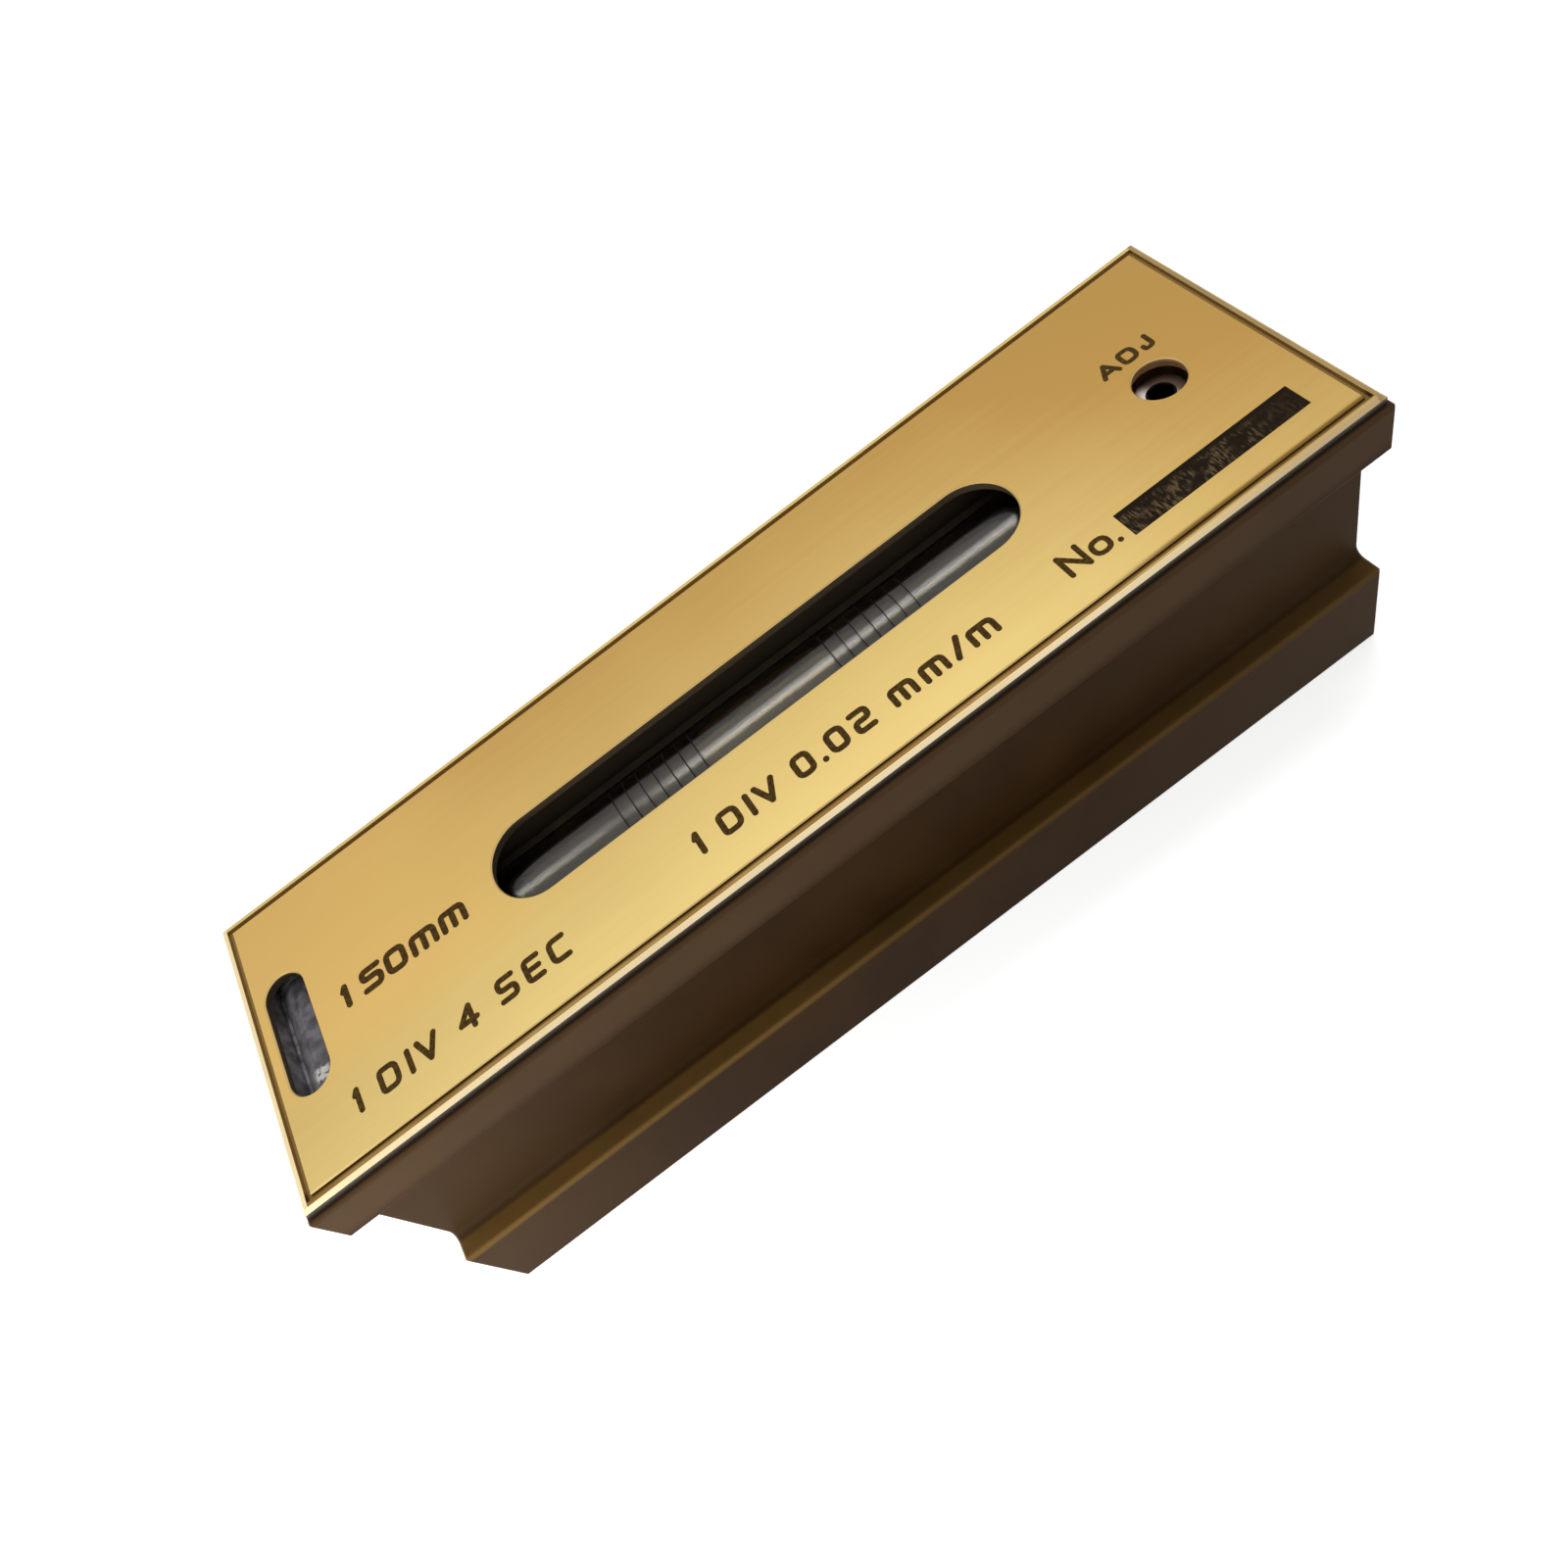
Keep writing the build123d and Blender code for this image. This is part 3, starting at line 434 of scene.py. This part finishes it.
LINES = [
    # baseline, top of capitals, top of small letters, width of a stroke, then each letter with its sides
    (-15.6, -12.1, -12.8, 0.77, [("1", -16.2, -15.0), ("D", -12.7, -9.75), ("I", -8.8, -8.25),
                                 ("V", -7.5, -4.4), ("0", -2.25, 0.45), (".", 1.15, 1.7), ("0", 2.5, 5.2),
                                 ("2", 6.05, 8.8), ("m", 11.25, 14.8), ("m", 15.6, 19.2),
                                 ("/", 19.9, 21.9), ("m", 22.35, 26.15)]),
    (-2.05, 1.5, 1.05, 0.84, [("1", -61.55, -60.25), ("5", -58.7, -55.5), ("0", -55.1, -51.95),
                              ("m", -51.4, -47.45), ("m", -47.0, -43.15)]),
    (-15.5, -12.0, -13.0, 0.74, [("1", -64.3, -63.1), ("D", -60.8, -57.85), ("I", -56.8, -56.25),
                                 ("V", -55.4, -52.3), ("4", -49.7, -46.8), ("S", -44.1, -41.3),
                                 ("E", -40.3, -37.7), ("C", -36.8, -34.1)]),
    (-15.95, -12.05, -13.25, 0.68, [("N", 35.6, 38.8), ("o", 39.25, 41.95), (".", 42.3, 42.95)]),
    (4.75, 7.4, 6.5, 0.64, [("A", 56.6, 59.4), ("D", 59.8, 62.3), ("J", 62.8, 64.6)]),
]


def lettering(lines):
    """Every stroke of every letter, its centre line laid half a stroke inside the letter's box, and each next
    stroke of a letter a little lower, so that no two tops coincide where strokes cross."""
    bars = []
    for base, capital, small, stroke, letters in lines:
        for letter, left, right in letters:
            half = stroke / 2 * MM
            low = base * MM + half
            high = (small if letter in "mo" else capital) * MM - half
            start, wide = left * MM + half, max((right - left) * MM - 2 * half, DOT)
            for order, (closed, corners) in enumerate(LETTERS[letter]):
                spots = [(start + u * wide, low + v * (high - low), share) for u, v, share in corners]
                line = rounded(spots, closed, TURN)
                bars.append(bar(line, closed, 2 * half, LETTER_LOW, LETTER_HIGH - order * STEP))
    return together(*bars)


wax, place, x, y, z = new_finish("brown_wax")
cloud = place.grain(0.5 * MM, 3.0)
lay_on(wax, {
    "Base Color": cloud.rise(0.35, 0.7).tint(LETTER_DARK, LETTER_BROWN),
    "Roughness": 0.45 + 0.2 * cloud,
    "Specular IOR Level": 0.08,
    "Normal": place.bump(cloud * (0.01 * MM)),
})
letters = piece("lettering", lettering(LINES), wax, 30)
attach(letters, "block")

# Number field: a black slip set flush in the plate, where a number would be punched. It is bare, with
# rubbing marks across its middle that thin out towards the right.
FIELD_BLACK, FIELD_RUBBED = shade(27, 17, 4), shade(104, 86, 60)
RUB_BACK, RUB_FRONT, RUB_TO = (-12.7 * MM, -13.5 * MM), (-17.1 * MM, -16.4 * MM), (68 * MM, 58 * MM)


def dress(name, finish):
    """A CAD node that stays takes a finish in every slot."""
    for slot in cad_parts[name].material_slots:
        slot.material = finish


field, place, x, y, z = new_finish("rubbed_black")
smear = place.grain(1.6 * MM, 3.0, (0.6, 1.0, 1.0))
marks = place.grain(0.36 * MM, 2.0, (1.0, 0.24, 1.0))
band = y.rise(*RUB_BACK) * y.rise(*RUB_FRONT)
rubbed = smear.rise(0.34, 0.6) * marks.rise(0.42, 0.64) * band * x.rise(*RUB_TO).most(0.2)
lay_on(field, {
    "Base Color": rubbed.tint(FIELD_BLACK, FIELD_RUBBED),
    "Roughness": 0.5 + 0.15 * marks,
    "Specular IOR Level": 0.06,
    "Normal": place.bump(marks * (0.006 * MM)),
})
dress("number_field", field)

# Main vial: a tube of drawn glass, filled with clear spirit but for one long bubble under its roof. Its seven
# lines a side are etched in the glass and blacked, the first and the sixth of them longer.
VIAL_Z, GLASS_R, BORE_R, GLASS_END, GLASS_BEVEL = 36.4 * MM, 6.0 * MM, 4.8 * MM, 42.0 * MM, 0.3 * MM
BUBBLE_HALF, BUBBLE_WIDE, BUBBLE_DEEP = 10.25 * MM, 3.3 * MM, 1.9 * MM
FILM, WET = 0.06 * MM, 0.01 * MM
LINE_WIDE, LINE_PROUD, LINE_FIRST, LINE_PITCH, LINE_COUNT = 0.13 * MM, 0.012 * MM, 10 * MM, 2 * MM, 7
LINE_LONG, LINE_SHORT, LONG_ONES = math.radians(62), math.radians(50), (0, 5)
GLASS_SIDES, BUBBLE_STEPS, BUBBLE_SIDES, BAND_STEPS = 128, 49, 48, 33
GLASS, GLASS_PALE = shade(236, 222, 196), shade(246, 236, 216)
SPIRIT, SPIRIT_PALE = shade(236, 230, 208), shade(236, 240, 220)
LINE_BLACK, LINE_DEEP = shade(46, 41, 36), shade(20, 18, 15)
ALONG_X = np.eye(3)


def turned(profile, centre, axes):
    """A profile of (distance, radius) turned about a line: a point is centre + distance * first axis
    + radius * (cos t * second + sin t * third)."""
    along, out = np.array(profile).T
    t = np.linspace(0, 2 * math.pi, GLASS_SIDES, endpoint=False)[None, :, None]
    spoke = np.cos(t) * axes[1] + np.sin(t) * axes[2]
    return np.array(centre) + along[:, None, None] * axes[0] + out[:, None, None] * spoke


def tube(end, outside, bore, bevel, centre, axes):
    """A glass tube with its ends fire-rounded by a bevel, as a closed ring of a profile."""
    profile = [(-end, bore), (-end, outside - bevel), (bevel - end, outside), (end - bevel, outside),
               (end, outside - bevel), (end, bore)]
    return solid(turned(profile, centre, axes), closed_rows=True)


def bubble(half, wide, deep, roof, centre, axes):
    """A hollow under the bore's roof. At share s of its half length, its half width is wide * (1-s^4)^0.5 and
    t goes round it: its top follows the circle of radius roof, and its floor hangs below that by
    deep * (1-s^4)^0.5 * (-sin t)^0.8."""
    s = np.sin(np.linspace(-math.pi / 2, math.pi / 2, BUBBLE_STEPS))[:, None]
    t = np.linspace(0, 2 * math.pi, BUBBLE_SIDES, endpoint=False)[None, :]
    fade = np.sqrt(np.clip(1 - s ** 4, 0, 1))
    across = wide * fade * np.cos(t)
    under = np.clip(-np.sin(t), 0, 1) ** 0.8
    rise = np.sqrt(roof ** 2 - across ** 2) - deep * fade * under
    grid = (half * s + 0 * t)[..., None] * axes[0] + across[..., None] * axes[1] + rise[..., None] * axes[2]
    return solid(np.array(centre) + grid, hollow=True)


def spirit_fill(end, bore, hollow, centre, axes):
    """The spirit: a plain cylinder that wets the bore, with its bubble as a hollow."""
    profile = [(-end, bore + WET), (end, bore + WET)]
    return together(solid(turned(profile, centre, axes)), hollow)


def etched_lines(spots, radius):
    """Bands round the top of the glass: each runs from -reach to reach about the top, at the glass's radius,
    and its section is a flat rectangle."""
    bands = []
    for spot, reach in spots:
        t = np.linspace(-reach, reach, BAND_STEPS)[:, None]
        shift = np.array([-1, 1, 1, -1]) * LINE_WIDE / 2
        out = radius + np.array([-1, -1, 1, 1]) * LINE_PROUD
        grid = np.stack([spot + shift + 0 * t, out * np.sin(t), VIAL_Z + out * np.cos(t)], -1)
        bands.append(solid(grid))
    return together(*bands)


glass, place, x, y, z = new_finish("vial_glass")
ripple = place.grain(3.0 * MM, 1.0, (0.05, 1.0, 1.0))
lay_on(glass, {
    "Base Color": ripple.tint(GLASS, GLASS_PALE),
    "Roughness": 0.15 + 0.03 * ripple,
    "Specular Tint": (0.80, 0.80, 0.83, 1.0),
    "IOR": 1.5,
    "Transmission Weight": 1.0,
})
spirit, place, x, y, z = new_finish("vial_spirit")
swirl = place.grain(6.0 * MM, 1.0)
lay_on(spirit, {
    "Base Color": swirl.tint(SPIRIT, SPIRIT_PALE),
    "Roughness": 0.0,
    "IOR": 1.36,
    "Transmission Weight": 1.0,
})
ink, place, x, y, z = new_finish("line_black")
flake = place.grain(0.1 * MM, 2.0)
lay_on(ink, {
    "Base Color": flake.tint(LINE_BLACK, LINE_DEEP),
    "Roughness": 0.8 + 0.2 * flake,
    "Specular IOR Level": 0.0,
})
middle = (0, 0, VIAL_Z)
vial = piece("vial", tube(GLASS_END, GLASS_R, BORE_R, GLASS_BEVEL, middle, ALONG_X), glass, 35)
hollow = bubble(BUBBLE_HALF, BUBBLE_WIDE, BUBBLE_DEEP, BORE_R - FILM, middle, ALONG_X)
fill = piece("spirit", spirit_fill(GLASS_END, BORE_R, hollow, middle, ALONG_X), spirit, 50)
spots = [(side * (LINE_FIRST + LINE_PITCH * k), LINE_LONG if k in LONG_ONES else LINE_SHORT)
         for k in range(LINE_COUNT) for side in (-1, 1)]
scale_lines = piece("scale_lines", etched_lines(spots, GLASS_R), ink, 30)
for part, slot in ((vial, "vial_glass"), (fill, "vial_spirit"), (scale_lines, "number_black")):
    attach(part, "carrier")
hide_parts("main_vial")
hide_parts("main_spirit")

# Carrier: a brass tube, cut away over the vial, with a plug pinned into each end; all of it is chemically
# blackened, and worn a little brassy in patches.
BLACKED, BRASSY = shade(64, 53, 40), shade(112, 90, 58)

blacked, place, x, y, z = new_finish("blackened_brass")
cloud = place.grain(4 * MM, 3.0)
fine = place.grain(0.2 * MM, 2.0, (1.0, 0.2, 0.2))
lay_on(blacked, {
    "Base Color": (cloud.rise(0.5, 0.85) * 0.5).tint(BLACKED, BRASSY),
    "Metallic": 0.3,
    "Roughness": 0.48 + 0.2 * fine,
    "Normal": place.bump(fine * (0.004 * MM)),
})
for node in ("pivot_end", "adjust_end"):
    dress(node, blacked)
carrier = piece("carrier", of_node("carrier_tube"), blacked, 24)
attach(carrier, "carrier")
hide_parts("carrier_tube")

# Cement and end discs: the main vial lies in dark sealing wax and the cross vial in pale plaster, and a
# ground glass disc is fused on each end.
PLASTER, PLASTER_DEEP = shade(226, 220, 204), shade(190, 180, 158)
FROST, FROST_PALE = shade(214, 222, 216), shade(236, 240, 236)
PITCH, PITCH_WORN = shade(30, 24, 19), shade(52, 42, 32)

plaster, place, x, y, z = new_finish("plaster")
crumb = place.grain(0.5 * MM, 4.0)
lay_on(plaster, {
    "Base Color": crumb.tint(PLASTER_DEEP, PLASTER),
    "Roughness": 0.85,
    "Specular IOR Level": 0.2,
    "Normal": place.bump(crumb * (0.05 * MM)),
})
frosted, place, x, y, z = new_finish("ground_glass")
frost = place.grain(0.12 * MM, 2.0)
lay_on(frosted, {
    "Base Color": frost.tint(FROST, FROST_PALE),
    "Roughness": 0.4 + 0.2 * frost,
    "Transmission Weight": 0.6,
    "Normal": place.bump(frost * (0.008 * MM)),
})
pitch, place, x, y, z = new_finish("sealing_wax")
fold = place.grain(1.2 * MM, 3.0)
lay_on(pitch, {
    "Base Color": fold.tint(PITCH, PITCH_WORN),
    "Roughness": 0.5 + 0.2 * fold,
    "Specular IOR Level": 0.2,
    "Normal": place.bump(fold * (0.01 * MM)),
})
dress("vial_cement", pitch)
dress("cross_cement", plaster)
for node in ("main_vial_discs", "cross_vial_discs"):
    dress(node, frosted)

# Steel parts: turned screws, washer, dowel and pins and the milled pivot block, left bright and oiled. All
# but the adjusting screw's head is hidden in the block.
STEEL, STEEL_DULL = shade(212, 208, 204), shade(170, 166, 160)

bright, place, x, y, z = new_finish("oiled_steel")
cloud = place.grain(3 * MM, 2.0)
swirl = place.grain(0.1 * MM, 2.0)
lay_on(bright, {
    "Base Color": cloud.tint(STEEL_DULL, STEEL),
    "Metallic": 1.0,
    "Roughness": 0.28 + 0.14 * swirl,
    "Normal": place.bump(swirl * (0.002 * MM)),
})
for node in ("cover_screws", "end_pins", "pivot_block", "pivot_block_screws", "pivot_pin", "adj_washer",
             "cross_cradle_screws"):
    dress(node, bright)

# Adjusting screw: a socket screw of bright steel, its head faced on a lathe, which leaves fine rings. The
# socket and a narrow ring round it are painted dark as shade, and the head is oxidised but for a crescent
# towards the front left, painted bright as a highlight.
ADJ_X, SOCKET_R, RING_PITCH, HIGHLIGHT_TO = 60.9 * MM, 1.95 * MM, 0.11 * MM, (1.5 * MM, -0.8 * MM)
HEAD_HIGHLIGHT, OXIDE, SOCKET_SHADE = shade(248, 240, 236), shade(112, 92, 80), shade(20, 17, 16)

faced, place, x, y, z = new_finish("faced_steel")
centred = place.node("Mapping", {}, {"Vector": place, "Location": (-ADJ_X, 0, 0)})
apart = place.node("SeparateXYZ", {}, {"Vector": centred}).socket.node.outputs
u, v = (Wire(faced.node_tree, axis) for axis in (apart[0], apart[1]))
radius = (u ** 2.0 + v ** 2.0) ** 0.5
rings = radius.math("SINE", radius * (2 * math.pi / RING_PITCH))
cloud = place.grain(1.5 * MM, 2.0)
# Painted shade: the socket and a narrow ring round it are dark.
deep = radius.rise(SOCKET_R, SOCKET_R - 0.15 * MM)
# Painted highlight: a bright crescent towards the front left of the head.
head_highlight = (u + v * 0.6).rise(*HIGHLIGHT_TO)
lay_on(faced, {
    "Base Color": deep.tint((head_highlight * (0.7 + 0.4 * cloud)).tint(OXIDE, HEAD_HIGHLIGHT), SOCKET_SHADE),
    "Metallic": 1.0,
    "Roughness": 0.30 + 0.10 * cloud + 0.2 * deep,
    "Normal": place.bump(rings * (0.0012 * MM)),
})
screw = piece("screw", of_node("adj_screw"), faced, 24)
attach(screw, "screw")
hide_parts("adj_screw")

# Spring: a coil of flat wire between the block and the carrier's tongue.
WIRE_DULL, WIRE_BRIGHT = shade(132, 128, 122), shade(176, 172, 166)

wound, place, x, y, z = new_finish("spring_wire")
drawn = place.grain(0.15 * MM, 2.0, (1.0, 1.0, 0.3))
lay_on(wound, {
    "Base Color": drawn.tint(WIRE_DULL, WIRE_BRIGHT),
    "Metallic": 1.0,
    "Roughness": 0.34 + 0.12 * drawn,
    "Normal": place.bump(drawn * (0.003 * MM)),
})
spring = piece("spring", of_node("adj_spring"), wound, 24)
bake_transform(spring)
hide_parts("adj_spring")

# Cross vial: a short tube of clouded glass in a mottled grey cradle under its own window, with a small
# bubble and a white glint painted on the glass near its front end. The cradle, and the glass left of its
# middle, are painted paler so that they read lit in the shaded pocket. It shows whether the block lies over
# to one side.
CROSS_X, CROSS_Z, CROSS_R, CROSS_BORE, CROSS_END = -68.3 * MM, 39.4 * MM, 3.2 * MM, 2.5 * MM, 9.5 * MM
CROSS_BEVEL, CROSS_HALF, CROSS_WIDE, CROSS_DEEP = 0.2 * MM, 2.6 * MM, 1.5 * MM, 1.1 * MM
ALONG_Y = np.array([(0, 1, 0), (1, 0, 0), (0, 0, 1)])
CRADLE_LIT, CRADLE_LIT_PALE, GLINT = shade(132, 128, 132), shade(222, 220, 226), shade(240, 236, 232)
CLOUDED, CLOUDED_PALE = shade(74, 70, 72), shade(128, 126, 132)
GLASS_LIFTED, GLASS_LIFTED_PALE, LIFTED_FROM = shade(108, 104, 106), shade(150, 148, 154), (-68.4 * MM, -69.4 * MM)
GLINT_FRONT, GLINT_BACK, GLINT_HALF = (-6.6 * MM, -6.1 * MM), (-4.2 * MM, -5.0 * MM), 1.5 * MM

lit_cradle, place, x, y, z = new_finish("lit_cradle_grey")
blot = place.grain(1.3 * MM, 3.0)
lay_on(lit_cradle, {
    # Mottled grey, painted pale so that the cradle reads lit in its shaded pocket: painted light.
    "Base Color": blot.rise(0.35, 0.68).tint(CRADLE_LIT, CRADLE_LIT_PALE),
    "Metallic": 0.1,
    "Roughness": 0.45 + 0.2 * blot,
    "Normal": place.bump(blot * (0.05 * MM)),
})
dress("cross_cradle", lit_cradle)

clouded, place, x, y, z = new_finish("clouded_glass")
bloom = place.grain(1.8 * MM, 3.0)
crumb = place.grain(0.7 * MM, 3.0)
# Painted highlight: a white glint on the glass near its front end.
glint = y.rise(*GLINT_FRONT) * y.rise(*GLINT_BACK)
glint = glint * abs(x - CROSS_X).rise(GLINT_HALF, 0.4 * GLINT_HALF) * crumb.rise(0.38, 0.5)
dusty = bloom.rise(0.35, 0.7).tint(CLOUDED, CLOUDED_PALE)
# Left of the vial's middle the glass is painted paler, painted light that offsets the shade there.
dusty = x.rise(*LIFTED_FROM).tint(dusty, bloom.rise(0.35, 0.7).tint(GLASS_LIFTED, GLASS_LIFTED_PALE))
lay_on(clouded, {
    "Base Color": glint.tint(dusty, GLINT),
    "Roughness": 0.12 + 0.10 * bloom + 0.5 * glint,
    "IOR": 1.5,
    "Transmission Weight": 0.15,
    "Specular IOR Level": 0.35,
    "Normal": place.bump(bloom * (0.01 * MM) + crumb * glint * (0.04 * MM)),
})
spot = (CROSS_X, 0, CROSS_Z)
cross_tube = tube(CROSS_END, CROSS_R, CROSS_BORE, CROSS_BEVEL, spot, ALONG_Y)
cross = piece("cross_vial_glass", cross_tube, clouded, 35)
hollow = bubble(CROSS_HALF, CROSS_WIDE, CROSS_DEEP, CROSS_BORE - FILM, spot, ALONG_Y)
cross_fill = piece("cross_vial_spirit", spirit_fill(CROSS_END, CROSS_BORE, hollow, spot, ALONG_Y), spirit, 50)
for part, node, slot in ((cross, "cross_vial", "vial_glass"), (cross_fill, "cross_spirit", "vial_spirit")):
    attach(part, "block")
    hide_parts(node)

# Studio: a white table and white surroundings, two strip lights end to end overhead, a soft light at the
# front left, and the camera close over the block's front. The camera's focal length and middle, in pixels,
# and its place and axes are those that fit the photo's edges.
FLOOR_HALF, FLOOR, FLOOR_PALE = 4.0, shade(236, 236, 236), shade(240, 240, 240)
BLACK, WHITE, FLOOR_GLOW, ROOM_LIGHT = (0.0, 0.0, 0.0, 1.0), (1.0, 1.0, 1.0, 1.0), 0.61, 0.40
LAMPS = [
    # name, place, target, longer side, shorter side, watts
    ("strip_right", (0.157, 0.24, 1.0), (0.157, 0, 0.04), 0.526, 0.28, 2.7),
    ("strip_left", (-0.394, 0.24, 1.0), (-0.394, 0, 0.04), 0.412, 0.20, 1.3),
    ("front_left", (-0.20, -0.12, 0.05), (-0.07, -0.02, 0.02), 0.06, 0.05, 0.46),
]
PHOTO_WIDE, PHOTO_HIGH, FOCAL, MIDDLE_U, MIDDLE_V = 1600, 1582, 1175.6, 850.3, 844.5
SENSOR, NEAREST, EYE = 36.0, 0.005, (-0.0025, -0.0923, 0.1487)
RIGHT, DOWN = (0.797117, -0.50241, -0.334946), (-0.603825, -0.663051, -0.442446)
AHEAD = (0.000204, 0.55493, -0.831897)


def seen_white(tree, plain, bright):
    """The value bright for camera, glossy and transmission rays, and plain for all other light."""
    rays = tree.nodes.new("ShaderNodeLightPath").outputs
    kinds = ("Is Camera Ray", "Is Glossy Ray", "Is Transmission Ray")
    camera, glossy, through = (Wire(tree, rays[kind]) for kind in kinds)
    return plain + (bright - plain) * camera.most(glossy).most(through)


corners = np.array([(-1, -1, 0), (1, -1, 0), (1, 1, 0), (-1, 1, 0)]) * FLOOR_HALF
table_top, place, x, y, z = new_finish("white_table")
lay_on(table_top, {
    "Base Color": place.grain(40 * MM, 1.0).tint(FLOOR, FLOOR_PALE),
    "Roughness": 0.9,
    "Specular IOR Level": 0.1,
    "Emission Color": seen_white(table_top.node_tree, 0.0, 1.0).tint(BLACK, WHITE),
    "Emission Strength": FLOOR_GLOW,
})
table = piece("table", (corners, np.array([(0, 1, 2), (0, 2, 3)])), table_top, 30)

world = bpy.data.worlds.new("white_room")
world.use_nodes = True
bpy.context.scene.world = world
backdrop = world.node_tree.nodes["Background"].inputs
backdrop["Color"].default_value = WHITE
world.node_tree.links.new(seen_white(world.node_tree, ROOM_LIGHT, 1.0).socket, backdrop["Strength"])


def lamp(name, spot, target, wide, deep, watts):
    """An area light at a spot, its longer side level, that faces its target."""
    light = bpy.data.lights.new(name, "AREA")
    light.shape, light.size, light.size_y, light.energy = "RECTANGLE", wide, deep, watts
    made = bpy.data.objects.new(name, light)
    away = np.array(spot) - np.array(target)
    away = away / np.linalg.norm(away)
    level = np.cross((0, 1, 0) if abs(away[1]) < 0.9 else (0, 0, 1), away)
    level = level / np.linalg.norm(level)
    made.matrix_world = Matrix(np.vstack([np.column_stack([level, np.cross(away, level), away, spot]),
                                          (0, 0, 0, 1)]).tolist())
    made.visible_camera = False
    bpy.context.scene.collection.objects.link(made)


for row in LAMPS:
    lamp(*row)

lens = bpy.data.cameras.new("camera")
lens.sensor_width, lens.lens, lens.clip_start = SENSOR, FOCAL / PHOTO_WIDE * SENSOR, NEAREST
lens.shift_x = -(MIDDLE_U - PHOTO_WIDE / 2) / PHOTO_WIDE
lens.shift_y = (MIDDLE_V - PHOTO_HIGH / 2) / PHOTO_WIDE
camera = bpy.data.objects.new("camera", lens)
turn = np.column_stack([RIGHT, -np.array(DOWN), -np.array(AHEAD), EYE])
camera.matrix_world = Matrix(np.vstack([turn, (0, 0, 0, 1)]).tolist())
bpy.context.scene.collection.objects.link(camera)
bpy.context.scene.camera = camera
bpy.context.scene.view_settings.view_transform = "Standard"
